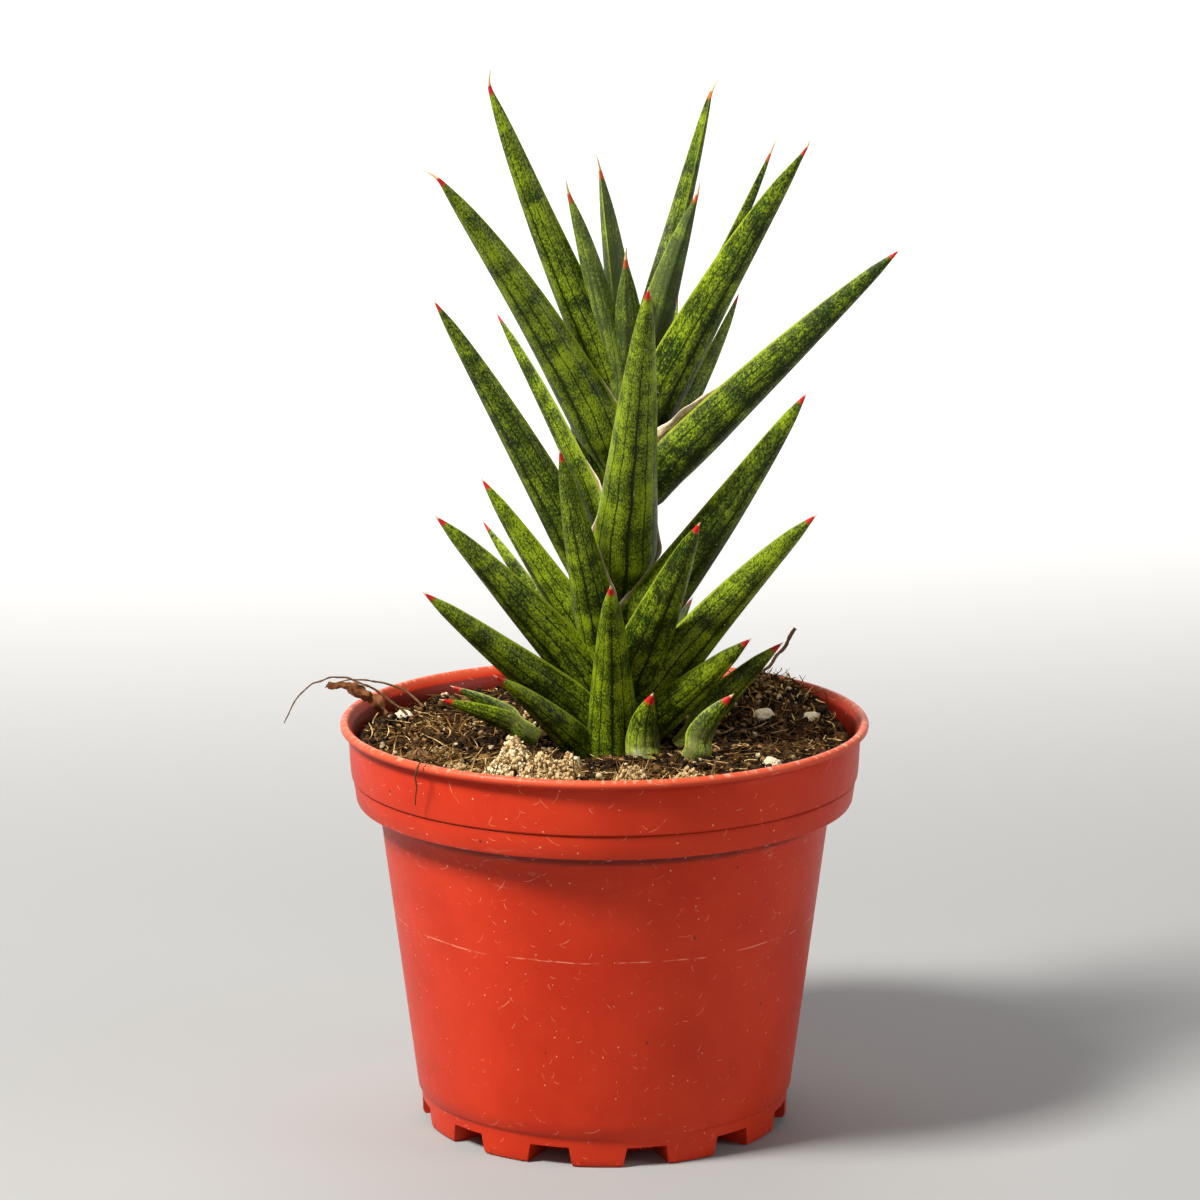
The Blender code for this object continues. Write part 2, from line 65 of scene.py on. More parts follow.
# %% Camera
CAMERA_PLACE = (0.0, -0.95, 0.32)
CAMERA_TIP = 0.2074  # radians below the horizon
lens = bpy.data.cameras.new("camera")
lens.lens = 129.0
lens.shift_x = -0.0038
camera = bpy.data.objects.new("camera", lens)
camera.location = CAMERA_PLACE
camera.rotation_euler = (0.5 * math.pi - CAMERA_TIP, 0.0, 0.0)
bpy.context.scene.collection.objects.link(camera)
bpy.context.scene.camera = camera
print("camera with a lens of", lens.lens, "mm")

# %% [markdown]
# ## Shader sums
#
# A pattern such as a leaf's stipple is a sum of simpler ones. Wiring such sums node by node hides
# the idea, so one small class wraps a node's output. Adding or multiplying two of them adds the
# Math node, and one method adds any other node: its settings first, then its sockets.


# %% A wire
class Wire:
    """One output of a material's nodes, which sums can be written with."""

    def __init__(self, tree, socket=None):
        self.tree = tree
        self.socket = socket

    def node(self, kind, settings=None, sockets=None, output=0):
        made = self.tree.nodes.new(kind)
        for key, value in (settings or {}).items():
            setattr(made, key, value)
        for key, value in (sockets or {}).items():
            if isinstance(value, Wire):
                self.tree.links.new(value.socket, made.inputs[key])
            else:
                made.inputs[key].default_value = value
        return Wire(self.tree, made.outputs[output])

    def math(self, operation, *others):
        return self.node("ShaderNodeMath", {"operation": operation}, dict(enumerate((self, *others))))

    def __add__(self, other):
        return self.math("ADD", other)

    __radd__ = __add__

    def __sub__(self, other):
        return self.math("SUBTRACT", other)

    def __rsub__(self, other):
        return self.math("MULTIPLY_ADD", -1.0, other)

    def __mul__(self, other):
        return self.math("MULTIPLY", other)

    __rmul__ = __mul__

    def __abs__(self):
        return self.math("ABSOLUTE")

    def step(self, low, high):
        """0 below low, 1 above high and smooth between. With low above high it falls instead."""
        sockets = {0: self, 1: low, 2: high}
        return self.node("ShaderNodeMapRange", {"interpolation_type": "SMOOTHSTEP"}, sockets)

    def near(self, place, width):
        """1 at a place, falling smoothly to 0 a width away."""
        return abs(self - place).step(width, 0.0)

    def mix(self, first, second):
        """The first colour where this is 0, and the second where it is 1."""
        sockets = {0: self}
        for key, color in ((6, first), (7, second)):
            sockets[key] = color if isinstance(color, Wire) else (*color, 1.0)
        return self.node("ShaderNodeMix", {"data_type": "RGBA"}, sockets, 2)

    def parts(self):
        """The three numbers of a vector."""
        split = self.node("ShaderNodeSeparateXYZ", None, {0: self})
        return [Wire(self.tree, output) for output in split.socket.node.outputs]

    def vector(self, x=0.0, y=0.0, z=0.0):
        return self.node("ShaderNodeCombineXYZ", None, {0: x, 1: y, 2: z})

    def noise(self, scale, detail=2.0, roughness=0.5, distortion=0.0):
        """Noise from 0 to 1 at this place."""
        sockets = {"Vector": self, "Scale": scale, "Detail": detail}
        sockets |= {"Roughness": roughness, "Distortion": distortion}
        return self.node("ShaderNodeTexNoise", None, sockets)

    def attribute(self, name, output="Fac"):
        return self.node("ShaderNodeAttribute", {"attribute_name": name}, None, output)

    def bump(self, strength, distance):
        sockets = {"Height": self, "Strength": strength, "Distance": distance}
        return self.node("ShaderNodeBump", None, sockets)


def new_finish(name, roughness=0.5, **fixed):
    """A material, its Principled shader and a wire to start sums from."""
    made = bpy.data.materials.new(name)
    made.use_nodes = True
    shader = made.node_tree.nodes["Principled BSDF"]
    shader.inputs["Roughness"].default_value = roughness
    for key, value in fixed.items():
        shader.inputs[key.replace("_", " ")].default_value = value
    return made, shader, Wire(made.node_tree)


def feed(shader, socket, wire):
    wire.tree.links.new(wire.socket, shader.inputs[socket])


def object_mm(wire):
    """The three numbers of a point's place on its object, in millimetres."""
    return [part * (1.0 / MM) for part in wire.node("ShaderNodeTexCoord", None, None, "Object").parts()]


print("shader sums ready")

# %% [markdown]
# ## Pieces
#
# Most pieces here are written as lists of points, in millimetres, because those numbers read like
# a ruler. One helper turns them into a mesh, with any numbers that the shader needs stored on the
# points, parents it to the CAD root body and hides the CAD nodes that it stands for.


# %% A piece
def add_piece(name, points, faces, finish, slot, stands_for=(), sharp=40.0, **numbers):
    """A mesh object on the root body, with a number or a vector on each point for the shader."""
    mesh = bpy.data.meshes.new(name)
    mesh.from_pydata(np.asarray(points) * MM, [], faces)
    for key, values in numbers.items():
        values = np.asarray(values, np.float32)
        kind, field = ("FLOAT", "value") if values.ndim == 1 else ("FLOAT_VECTOR", "vector")
        mesh.attributes.new(key, kind, "POINT").data.foreach_set(field, values.ravel())
    mesh.shade_smooth()
    mesh.set_sharp_from_angle(angle=math.radians(sharp))
    mesh.materials.append(finish)
    piece = bpy.data.objects.new(name, mesh)
    bpy.context.scene.collection.objects.link(piece)
    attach(piece, "root")
    if stands_for:
        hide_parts(*stands_for)
    return piece


def ring_faces(rings, count, capped=False):
    """Quads between rings of count points, numbered ring by ring, with or without end caps."""
    faces = []
    for ring in range(rings - 1):
        low, high = ring * count, (ring + 1) * count
        for i in range(count):
            j = (i + 1) % count
            faces.append((low + i, low + j, high + j, high + i))
    if capped:
        faces += [tuple(range(count - 1, -1, -1)), tuple(range((rings - 1) * count, rings * count))]
    return faces


def cad_points(node):
    """A CAD node's points and the ends of its edges, in millimetres."""
    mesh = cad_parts[node].data
    points = np.empty(len(mesh.vertices) * 3)
    mesh.vertices.foreach_get("co", points)
    points = points.reshape(-1, 3) / MM
    edges = np.empty(len(mesh.edges) * 2, np.int64)
    mesh.edges.foreach_get("vertices", edges)
    return points, points[edges.reshape(-1, 2)]


def box_mm(node):
    low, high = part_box(node)
    return np.array(low) / MM, np.array(high) / MM


LEAVES = sorted(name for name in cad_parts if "leaf_" in name and name != "dry_leaf")
print(len(LEAVES), "leaves in the frame")

# %% [markdown]
# ## The pot's shape
#
# A pot like this is moulded in one shot: a tapered body, a flat step out to a rim band, a fine
# line round the band, a rolled bead on the lip and a crease above the foot, which has twelve
# drain notches. A lathe suits it, so one outline is turned round the axis. The notches can't be
# turned, so they are cut with Booleans, as in the CAD model.

# %% The pot's outline
POT_LOW, POT_HIGH = box_mm("pot")
LIP_RADIUS = 0.5 * (POT_HIGH[0] - POT_LOW[0])
POT_TOP = POT_HIGH[2]
POT_TURNS = 360
# In from the lip's edge, and up from the table.
FOOT_OUTLINE = ((18.75, 0.0), (18.3, 0.25), (18.05, 0.8), (17.95, 2.0), (17.85, 4.0), (17.72, 6.3))
CREASE_OUTLINE = ((17.66, 6.75), (17.5, 7.0), (17.3, 7.2), (17.0, 7.6))
BODY_OUTLINE = tuple((17.0 - 7.7 * share, 7.6 + 60.4 * share) for share in np.linspace(0.05, 1, 14))
# In from the lip's edge, and down from the top.
STEP_OUTLINE = ((9.25, 24.2), (9.2, 22.0), (8.9, 20.3), (8.0, 19.2), (6.0, 18.7), (4.2, 18.45))
BAND_OUTLINE = ((3.75, 18.3), (3.5, 17.8), (2.85, 13.4), (2.87, 13.15), (3.06, 12.95), (2.75, 12.75))
RIM_OUTLINE = ((2.45, 12.45), (2.3, 11.5), (2.1, 8.5), (1.95, 5.0), (1.9, 2.9), (2.05, 2.5), (2.0, 2.2))
BEAD_OUTLINE = ((1.2, 2.1), (0.5, 1.9), (0.1, 1.5), (0.0, 1.0), (0.12, 0.5), (0.45, 0.15), (0.9, 0.0))
LIP_OUTLINE = ((1.35, 0.03), (1.7, 0.3), (1.95, 0.9), (2.4, 1.6), (2.9, 2.4), (3.2, 4.0), (3.6, 7.0))
INSIDE_OUTLINE = ((5.0, 16.9), (9.4, 18.3), (10.2, 19.8), (10.4, 24.0), (19.1, 91.7))
outline = [(LIP_RADIUS - inset, height) for inset, height in FOOT_OUTLINE + CREASE_OUTLINE + BODY_OUTLINE]
upper = STEP_OUTLINE + BAND_OUTLINE + RIM_OUTLINE + BEAD_OUTLINE + LIP_OUTLINE + INSIDE_OUTLINE
outline += [(LIP_RADIUS - inset, POT_TOP - drop) for inset, drop in upper]
print("pot outline of", len(outline), "points, out to", round(LIP_RADIUS, 1), "mm")


# %% The pot's shell
def around(radius, height, turns=POT_TURNS):
    """A ring of points round the pot's axis."""
    angle = np.linspace(0.0, 2.0 * math.pi, turns, endpoint=False)
    return np.stack([radius * np.cos(angle), radius * np.sin(angle), np.full(turns, height)], 1)


shell_rings = [around(radius, height) for radius, height in outline]
shell_points = np.concatenate([*shell_rings, [(0, 0, outline[-1][1]), (0, 0, 0.0)]])
shell_faces = ring_faces(len(outline), POT_TURNS)
last_ring = (len(outline) - 1) * POT_TURNS
for turn in range(POT_TURNS):
    after = (turn + 1) % POT_TURNS
    shell_faces.append((last_ring + turn, last_ring + after, len(shell_points) - 2))
    shell_faces.append((after, turn, len(shell_points) - 1))

# %% Cutters for the notches
NOTCH_COUNT = 12
NOTCH_FIRST = 283.0
NOTCH_HEIGHT = 4.6
NOTCH_WIDTH = 11.6
NOTCH_TOP_WIDTH = 9.0
DRAIN_RADIUS = 2.4
NOTCH_DEPTH = 11.0
FOOT_RADIUS = 42.0
FLOOR = 1.3


def notch_blocks(name, grow, outer, bottom):
    """A block for each notch, narrower towards the axis and towards its top."""
    points, faces = [], []
    for count in range(NOTCH_COUNT):
        turn = math.radians(NOTCH_FIRST + 360.0 * count / NOTCH_COUNT)
        out = np.array((math.cos(turn), math.sin(turn), 0.0))
        side = np.array((-math.sin(turn), math.cos(turn), 0.0))
        start = len(points)
        for distance in (FOOT_RADIUS - NOTCH_DEPTH - grow, outer):
            wide = 0.5 * distance / FOOT_RADIUS
            ceiling = NOTCH_HEIGHT + grow
            corners = ((-1, NOTCH_WIDTH, bottom), (1, NOTCH_WIDTH, bottom))
            corners += ((1, NOTCH_TOP_WIDTH, ceiling), (-1, NOTCH_TOP_WIDTH, ceiling))
            for sign, width, height in corners:
                across = sign * (width * wide + grow)
                points.append(out * distance + side * across + np.array((0.0, 0.0, height)))
        box = ((3, 2, 1, 0), (4, 5, 6, 7), (0, 1, 5, 4), (1, 2, 6, 5), (2, 3, 7, 6), (3, 0, 4, 7))
        faces += [tuple(start + corner for corner in face) for face in box]
    return hidden_mesh(name, points, faces)


def hidden_mesh(name, points, faces):
    """A helper for a Boolean, which is removed once it has cut."""
    mesh = bpy.data.meshes.new(name)
    mesh.from_pydata(np.asarray(points) * MM, [], faces)
    helper = bpy.data.objects.new(name, mesh)
    bpy.context.scene.collection.objects.link(helper)
    return helper


def apply_boolean(piece, operation, helper):
    """Joins or cuts a piece with a helper, then removes the helper."""
    change = piece.modifiers.new(operation.lower(), "BOOLEAN")
    change.operation = operation
    change.solver = "EXACT"
    change.object = helper
    graph = bpy.context.evaluated_depsgraph_get()
    piece.data = bpy.data.meshes.new_from_object(piece.evaluated_get(graph))
    piece.modifiers.clear()
    bpy.data.objects.remove(helper)


print("notch blocks ready")

# %% [markdown]
# ## The pot's plastic
#
# The plastic is a warm red-orange, matt as it was moulded. A broken light line along the lip's top
# edge is partly rubbed wear and partly a painted highlight. Painted shade darkens the inside of the lip,
# and a painted shadow darkens the wall under the rim band. What makes it look used is on its surface:
# dust specks, tiny curved scratches, one long scuff round the middle and chalky wisps where hard water
# dried under the rim band.
# Each scratch is an arc inside a Voronoi cell. The cell gives it a place, a turn and a chance to
# be missing, so thousands of scratches cost one pattern.


# %% Scratches and specks
def in_cells(place, cell):
    """For each Voronoi cell of (round, up): its three chances, and the place from its centre."""
    sockets = {"Vector": place, "Scale": 1.0 / cell}
    centre = place.node("ShaderNodeTexVoronoi", {"voronoi_dimensions": "2D"}, sockets, "Position")
    color = Wire(place.tree, centre.socket.node.outputs["Color"])
    away = place.node("ShaderNodeVectorMath", {"operation": "SUBTRACT"}, {0: place, 1: centre})
    return color.parts(), away


def scratch_arcs(place, cell, radius, width, reach, share):
    """Short arcs that turn every way, one in a share of the cells."""
    (chance, turn, bend), away = in_cells(place, cell)
    sockets = {"Vector": away, "Axis": (0.0, 0.0, 1.0), "Angle": (turn - 0.5) * 2.4}
    x, y, _ = place.node("ShaderNodeVectorRotate", {"rotation_type": "AXIS_ANGLE"}, sockets).parts()
    curve = radius * (bend + 0.4)
    rise = curve - y
    from_arc = abs((x * x + rise * rise).math("SQRT") - curve)
    on_arc = from_arc.step(width, 0.3 * width) * abs(x).step(reach, 0.7 * reach)
    return on_arc * rise.math("GREATER_THAN", 0.0) * chance.math("LESS_THAN", share)


def specks(place, cell, size, share):
    """Round specks of many sizes, one in a share of the cells."""
    (chance, _, grade), away = in_cells(place, cell)
    distance = place.node("ShaderNodeVectorMath", {"operation": "LENGTH"}, {0: away}, "Value")
    return distance.math("LESS_THAN", grade * size) * chance.math("LESS_THAN", share)


print("scratch patterns ready")

# %% The pot's finish
MEAN_RADIUS = 55.0  # turns an angle into millimetres round the wall
SCUFF_HEIGHT = 50.0
DEEP_RED, BRIGHT_RED, LIP_TOP_RED = (0.50, 0.024, 0.004), (0.58, 0.034, 0.007), (0.74, 0.14, 0.06)
RUBBED_AND_HIGHLIGHT, SCRATCH_PINK, WISP_PINK = (0.88, 0.52, 0.36), (0.86, 0.36, 0.22), (0.84, 0.42, 0.33)
INNER_SHADE, UNDER_BAND_SHADOW, DIRT_SPECK = (0.13, 0.010, 0.004), (0.07, 0.003, 0.001), (0.10, 0.02, 0.01)
pot_plastic, shader, wire = new_finish("pot_plastic", Specular_IOR_Level=0.2)
x, y, up = object_mm(wire)
round_way = y.math("ARCTAN2", x) * MEAN_RADIUS
from_axis = (x * x + y * y).math("SQRT")
solid_place = wire.vector(x, y, up)
wall = wire.vector(round_way, up, 0.0)
mottle = solid_place.noise(0.05, 4.0, 0.6)
cloud = solid_place.noise(0.3, 3.0, 0.6)
color = mottle.step(0.3, 0.7).mix(DEEP_RED, BRIGHT_RED)
# The top of the lip is a lighter red, with a broken light line along its edge.
# The lighter red covers the top of the lip all round.
color = (up.step(POT_TOP - 1.9, POT_TOP - 0.5) * 0.55).mix(color, LIP_TOP_RED)
# The light line along the lip's top edge is partly rubbed wear and partly a painted highlight.
rubbed_and_highlight = wire.vector(round_way * 0.5, 2.0, 0.0).noise(1.0, 5.0, 0.7).step(0.5, 0.62)
rubbed_and_highlight = rubbed_and_highlight * up.step(POT_TOP - 0.8, POT_TOP - 0.1)
color = (rubbed_and_highlight * 0.6).mix(color, RUBBED_AND_HIGHLIGHT)
# Painted shade darkens the inside of the lip, above the mix.
inner_shade = from_axis.step(LIP_RADIUS - 2.5, LIP_RADIUS - 2.9) * up.step(POT_TOP - 14.0, POT_TOP - 12.0)
color = (inner_shade * 0.75).mix(color, INNER_SHADE)
# A painted shadow darkens the wall just under the rim band's lower edge, broken up by the mottle.
corner = up.step(POT_TOP - 21.8, POT_TOP - 20.2) * up.step(POT_TOP - 18.5, POT_TOP - 18.7)
corner = corner * mottle.step(0.25, 0.5) * from_axis.step(LIP_RADIUS - 4.2, LIP_RADIUS - 4.6)
color = (corner * 0.8).mix(color, UNDER_BAND_SHADOW)
# Scratches, and the long scuff.
arcs = scratch_arcs(wall, 3.6, 1.8, 0.09, 0.9, 0.4)
more_arcs = scratch_arcs(wire.vector(round_way + 31.0, up + 17.0, 0.0), 7.5, 6.0, 0.10, 2.6, 0.35)
scratched = arcs.math("MAXIMUM", more_arcs) * cloud.step(0.42, 0.66)
color = (scratched * 0.7).mix(color, SCRATCH_PINK)
scuff_way = up + wire.vector(round_way * 0.04, 0.0, 0.0).noise(1.0, 3.0) * 1.6
scuff = scuff_way.near(SCUFF_HEIGHT, 0.22)
scuff = scuff * wire.vector(round_way * 0.10, 3.0, 0.0).noise(1.0, 4.0).step(0.46, 0.56)
color = (scuff * 0.75).mix(color, (0.86, 0.34, 0.22))
# Hard water wisps, chalk, dust and specks of dirt.
wisp_way = wire.vector(round_way * 0.10, up * 0.30, 5.0)
wisps = wisp_way.noise(1.0, 6.0, 0.62, 1.2).step(0.56, 0.74) * up.step(60.0, 68.0) * up.step(79.0, 73.0)
wisps = wisps * wire.vector(round_way * 0.03, 1.0, 0.0).noise(1.0, 1.0).step(0.45, 0.6)
color = (wisps * 0.45).mix(color, WISP_PINK)
chalk = wire.vector(round_way * 0.35, up * 0.5, 9.0).noise(1.0, 5.0, 0.7).step(0.64, 0.72)
chalk = chalk * up.near(73.0, 3.2)
color = (chalk * 0.8).mix(color, (0.74, 0.60, 0.58))
dust = specks(wall, 4.0, 0.20, 0.35)
color = (dust * 0.7).mix(color, (0.86, 0.48, 0.37))
dirt = specks(wire.vector(round_way + 7.0, up + 3.0, 0.0), 12.0, 0.38, 0.35)
color = (dirt * 0.75).mix(color, DIRT_SPECK)
feed(shader, "Base Color", color)
feed(shader, "Roughness", cloud * 0.16 + 0.33 + wisps * 0.15 + scratched * 0.1 + dust * 0.2)
ripple = wire.vector(round_way * 0.02, up * 0.35, 2.0).noise(1.0, 2.0)
grain = solid_place.noise(3.0, 2.0)
height = ripple * 0.05 + grain * 0.012 - scratched * 0.02 + dust * 0.05
feed(shader, "Normal", height.bump(0.6, 0.001))
print("pot plastic:", len(pot_plastic.node_tree.nodes), "shader nodes")

# %% The pot
pot = add_piece("moulded_pot", shell_points, shell_faces, pot_plastic, "pot_plastic", ["pot"], 35.0)
wall_inside = FOOT_RADIUS - 0.55
apply_boolean(pot, "UNION", notch_blocks("notch_housings", FLOOR, wall_inside, 0.5 * FLOOR))
apply_boolean(pot, "DIFFERENCE", notch_blocks("notches", 0.0, FOOT_RADIUS + 5.0, -2.0))
drains = bmesh.new()
for count in range(NOTCH_COUNT):
    turn = math.radians(NOTCH_FIRST + 360.0 * count / NOTCH_COUNT)
    reach = FOOT_RADIUS - 0.62 * NOTCH_DEPTH
    place = Matrix.Translation((reach * math.cos(turn), reach * math.sin(turn), NOTCH_HEIGHT + 0.5 * FLOOR))
    size = {"radius1": DRAIN_RADIUS, "radius2": DRAIN_RADIUS, "depth": 3.0 * FLOOR}
    bmesh.ops.create_cone(drains, cap_ends=True, segments=32, matrix=place, **size)
drain_points = [vertex.co[:] for vertex in drains.verts]
drain_faces = [[vertex.index for vertex in face.verts] for face in drains.faces]
drains.free()
apply_boolean(pot, "DIFFERENCE", hidden_mesh("drain_holes", drain_points, drain_faces))
pot.data.shade_smooth()
pot.data.set_sharp_from_angle(angle=math.radians(35.0))
print("pot:", len(pot.data.polygons), "faces")

# %% [markdown]
# ## The leaves' shape
#
# On a living plant each leaf bends in one upright plane, is round on its back and has a channel
# along its inner face. The edges are hard and thin, and the last few millimetres are a horny
# point. The CAD leaf already has the right place, so it is sliced across at several places. The
# slices give the line it follows and its width, and a finer leaf is swept along that line.

# %% Measuring a leaf
SLICES = np.array((0.32, 0.42, 0.52, 0.62, 0.72, 0.82, 0.9))
stem_points, _ = cad_points("stem")
STEM_LOW = stem_points[stem_points[:, 2] < stem_points[:, 2].min() + 1.0].mean(0)
STEM_HIGH = stem_points[stem_points[:, 2] > stem_points[:, 2].max() - 4.0].mean(0)


def stem_axis(height):
    """The middle of the stem at a height."""
    share = (height - STEM_LOW[2]) / (STEM_HIGH[2] - STEM_LOW[2])
    return STEM_LOW + (STEM_HIGH - STEM_LOW) * share


def smooth(low, high, value):
    share = np.clip((value - low) / (high - low), 0.0, 1.0)
    return share * share * (3.0 - 2.0 * share)


def leaf_width(share):
    """Half a leaf's width along its length, as a share of its widest: a long taper from a narrow foot."""
    return (0.5 + 0.5 * smooth(0.0, 0.2, share)) * ((1.0 - share) / 0.8) ** 0.65


def measure_leaf(node):
    """Where a CAD leaf starts, the way it points, its length, its sag off a straight line, its width."""
    points, edges = cad_points(node)
    start = points[points[:, 2] < points[:, 2].min() + 1.5].mean(0)
    if node.startswith("leaf"):
        start = stem_axis(start[2])
    tip = points[np.argmax(np.linalg.norm(points - start, axis=1))]
    length = float(np.linalg.norm(tip - start))
    along = (tip - start) / length
    out = (tip - start) * (1.0, 1.0, 0.0)
    out /= np.linalg.norm(out)
    side = np.array((-out[1], out[0], 0.0))
    above = np.cross(side, along)
    sags, halves = [], []
    for share in SLICES:
        depth = (edges - start) @ along - share * length
        crossing = edges[depth[:, 0] * depth[:, 1] < 0.0]
        part = depth[depth[:, 0] * depth[:, 1] < 0.0]
        part = (part[:, 0] / (part[:, 0] - part[:, 1]))[:, None]
        cut = crossing[:, 0] + (crossing[:, 1] - crossing[:, 0]) * part
        across = (cut - start) @ side
        ends = cut[[np.argmin(across), np.argmax(across)]]
        sags.append(float(((ends - start) @ above).mean()))
        halves.append(0.5 * float(np.ptp(across)) / leaf_width(share))
    weights = np.append(np.ones(len(SLICES)), 6.0)
    curve = np.polyfit(np.append(SLICES, 1.0), np.append(sags, 0.0), 2, w=weights)
    return start, along, side, above, length, curve, float(np.percentile(halves, 60))


measured = {node: measure_leaf(node) for node in LEAVES}
for node in ("leaf_17", "leaf_21", "leaf_26"):
    print(node, "is", round(measured[node][4], 1), "mm long,", round(2 * measured[node][6], 1), "mm wide")

# %% Sweeping a leaf
LEAF_RINGS = 72
BACK_POINTS = 26
FACE_POINTS = 12
GROOVES = (-0.64, -0.34, 0.0, 0.34, 0.64)
TWIST = 42.0  # degrees that a leaf which points straight sideways turns its back to the front
# How long a thread the horny point ends in and how far it hooks aside, in millimetres.
AWNS = {
    "leaf_23": (4.0, -2.0),
    "leaf_25": (2.0, -0.5),
    "leaf_26": (4.0, 2.0),
    "leaf_27": (5.0, 0.8),
    "leaf_28": (4.0, 0.6),
    "leaf_29": (4.5, -2.2),
    "leaf_30": (3.0, -0.6),
    "leaf_31": (5.0, 0.5),
    "leaf_32": (4.0, 0.3),
}


def section_places():
    """Points round a leaf's section: how far across, how far round from the middle, on the back."""
    back = np.linspace(-1.0, 1.0, BACK_POINTS)
    face = np.linspace(1.0, -1.0, FACE_POINTS + 2)[1:-1]
    across = np.concatenate([np.sin(0.5 * math.pi * back), face])
    girth = np.concatenate([back, face])
    return across, girth, np.concatenate([np.ones(BACK_POINTS), np.zeros(FACE_POINTS)])


def leaf_frames(node):
    """Along a leaf: shares, middles, the way up from its face, half widths and mm from the tip."""
    start, along, side, above, length, curve, widest = measured[node]
    thread, hook = AWNS.get(node, (0.0, 0.0))
    length = length + 0.55 * thread
    first = 0.035 if node.startswith("leaf") else -0.15
    share = 1.0 - (1.0 - first) * (1.0 - np.linspace(0.0, 1.0, LEAF_RINGS)) ** 1.35
    middle = start + np.outer(share * length, along) + np.outer(np.polyval(curve, share), above)
    forward = np.gradient(middle, axis=0)
    forward /= np.linalg.norm(forward, axis=1)[:, None]
    upward = np.cross(forward, side)
    ramp = smooth(0.0, 0.35, share) if node.startswith("leaf") else np.ones(LEAF_RINGS)
    turn = math.radians(TWIST) * side[1] * ramp[:, None]
    flat_side = side
    side = flat_side * np.cos(turn) - upward * np.sin(turn)
    upward = upward * np.cos(turn) + flat_side * np.sin(turn)
    from_tip = (1.0 - share) * length
    widest = widest * (1.0 - 0.15 * abs(side[0, 1]))
    half = widest * leaf_width(np.minimum(share, 0.9999))
    if node.startswith("shoot"):
        flare = 1.0 + 0.25 * np.clip(0.28 - share, 0.0, 1.0)
        half = widest * leaf_width(np.clip(share, 0.28, 0.9999)) * flare
    if node.startswith("leaf"):
        half = np.minimum(half, 0.8 * np.linalg.norm((middle - start)[:, :2], axis=1) + 1.0)
    cone = widest * leaf_width(1.0 - 7.0 / length) * (from_tip / 7.0) ** 0.9
    half = np.where(from_tip < 7.0, np.minimum(half, cone), half)
    if thread:
        neck = 0.17 + 0.02 * from_tip + 0.016 * from_tip**2
        half = (np.maximum(half, 0.01) ** -3.0 + neck**-3.0) ** (-1.0 / 3.0)
        bent = np.clip(1.0 - from_tip / (thread + 1.0), 0.0, 1.0) ** 2
        middle = middle + side * (bent * hook)[:, None]
    return share, middle, upward, np.maximum(half, 0.1), from_tip, side, length


def sweep_leaf(node, seed):
    """Points, faces and shader numbers of a fine leaf that follows a CAD leaf."""
    share, middle, upward, half, from_tip, side, length = leaf_frames(node)
    across, girth, back = section_places()
    points, places, girths, ends = [], [], [], []
    for ring in range(LEAF_RINGS):
        depth = half[ring] * (1.0 + 0.3 * share[ring])
        channel = 0.48 * half[ring] * max(1.0 - share[ring] / 0.9, 0.0)
        wave = noise.noise(Vector((share[ring] * 5.0, seed, 0.0)))
        lean = 0.05 * noise.noise(Vector((share[ring] * 2.0, seed, 7.0)))
        round_back = np.sqrt(np.maximum(1.0 - across * across, 0.0)) ** 0.92
        lines = sum(np.exp(-(((girth - line) / 0.07) ** 2)) for line in GROOVES)
        fade = smooth(0.0, 0.15, share[ring]) * (1.0 - smooth(0.75, 0.95, share[ring]))
        down = np.where(back > 0, depth * round_back - 0.16 * lines * fade, channel * (1.0 - across**2))
        down = down - 0.45 * depth * smooth(0.0, 0.2, share[ring])
        wide = half[ring] * (1.0 + 0.02 * wave) * across
        here = middle[ring] + np.outer(wide, side[ring]) - np.outer(down + lean * wide, upward[ring])
        points.append(here)
        around_leaf = girth * half[ring] * np.where(back > 0, 1.5, 1.0)
        along = np.full(len(across), share[ring] * length)
        places.append(np.stack([around_leaf, along, np.full(len(across), seed * 13.7)], 1))
        girths.append(girth)
        ends.append(np.full(len(across), from_tip[ring] - 0.6 * AWNS.get(node, (0.0, 0.0))[0]))
    count = len(across)
    faces = ring_faces(LEAF_RINGS, count, capped=True)
    numbers = {"leaf_place": np.concatenate(places), "leaf_girth": np.concatenate(girths)}
    numbers |= {"leaf_share": np.repeat(share, count), "from_tip": np.concatenate(ends)}
    return np.concatenate(points), faces, numbers


print("a leaf has", LEAF_RINGS, "rings of", BACK_POINTS + FACE_POINTS, "points")

# %% [markdown]
# ## The leaves' skin
#
# The skin is lime green with fine dark grains drawn out along the leaf. The grains gather in
# uneven cross bands and in dark lines that run from foot to point. Every pattern here is one
# "level": grains, bands and lines are added up, and where the sum is high the skin is dark. The
# horny point turns red and then cream over its last millimetres.

# %% The leaves' finish
LIME, LEAF_GREEN, DARK_GREEN = (0.270, 0.360, 0.009), (0.066, 0.104, 0.003), (0.011, 0.022, 0.001)
HORN_RED, HORN_AMBER, HORN_CREAM = (0.52, 0.018, 0.012), (0.60, 0.13, 0.025), (0.78, 0.50, 0.26)
leaf_skin, shader, wire = new_finish("leaf_skin", Specular_IOR_Level=0.2)
around_mm, along_mm, seed = wire.attribute("leaf_place", "Vector").parts()
across = wire.attribute("leaf_girth")
share = wire.attribute("leaf_share")
from_tip = wire.attribute("from_tip")
young = wire.attribute("young")
amber = wire.attribute("amber")
grains = wire.vector(around_mm * 3.2, along_mm * 1.6, seed).noise(1.0, 3.0, 0.62)
fine_grains = wire.vector(around_mm * 5.5, along_mm * 3.0, seed + 3.0).noise(1.0, 2.0, 0.6)
wander = wire.vector(around_mm * 0.3, along_mm * 0.1, seed + 9.0).noise(1.0, 2.0)
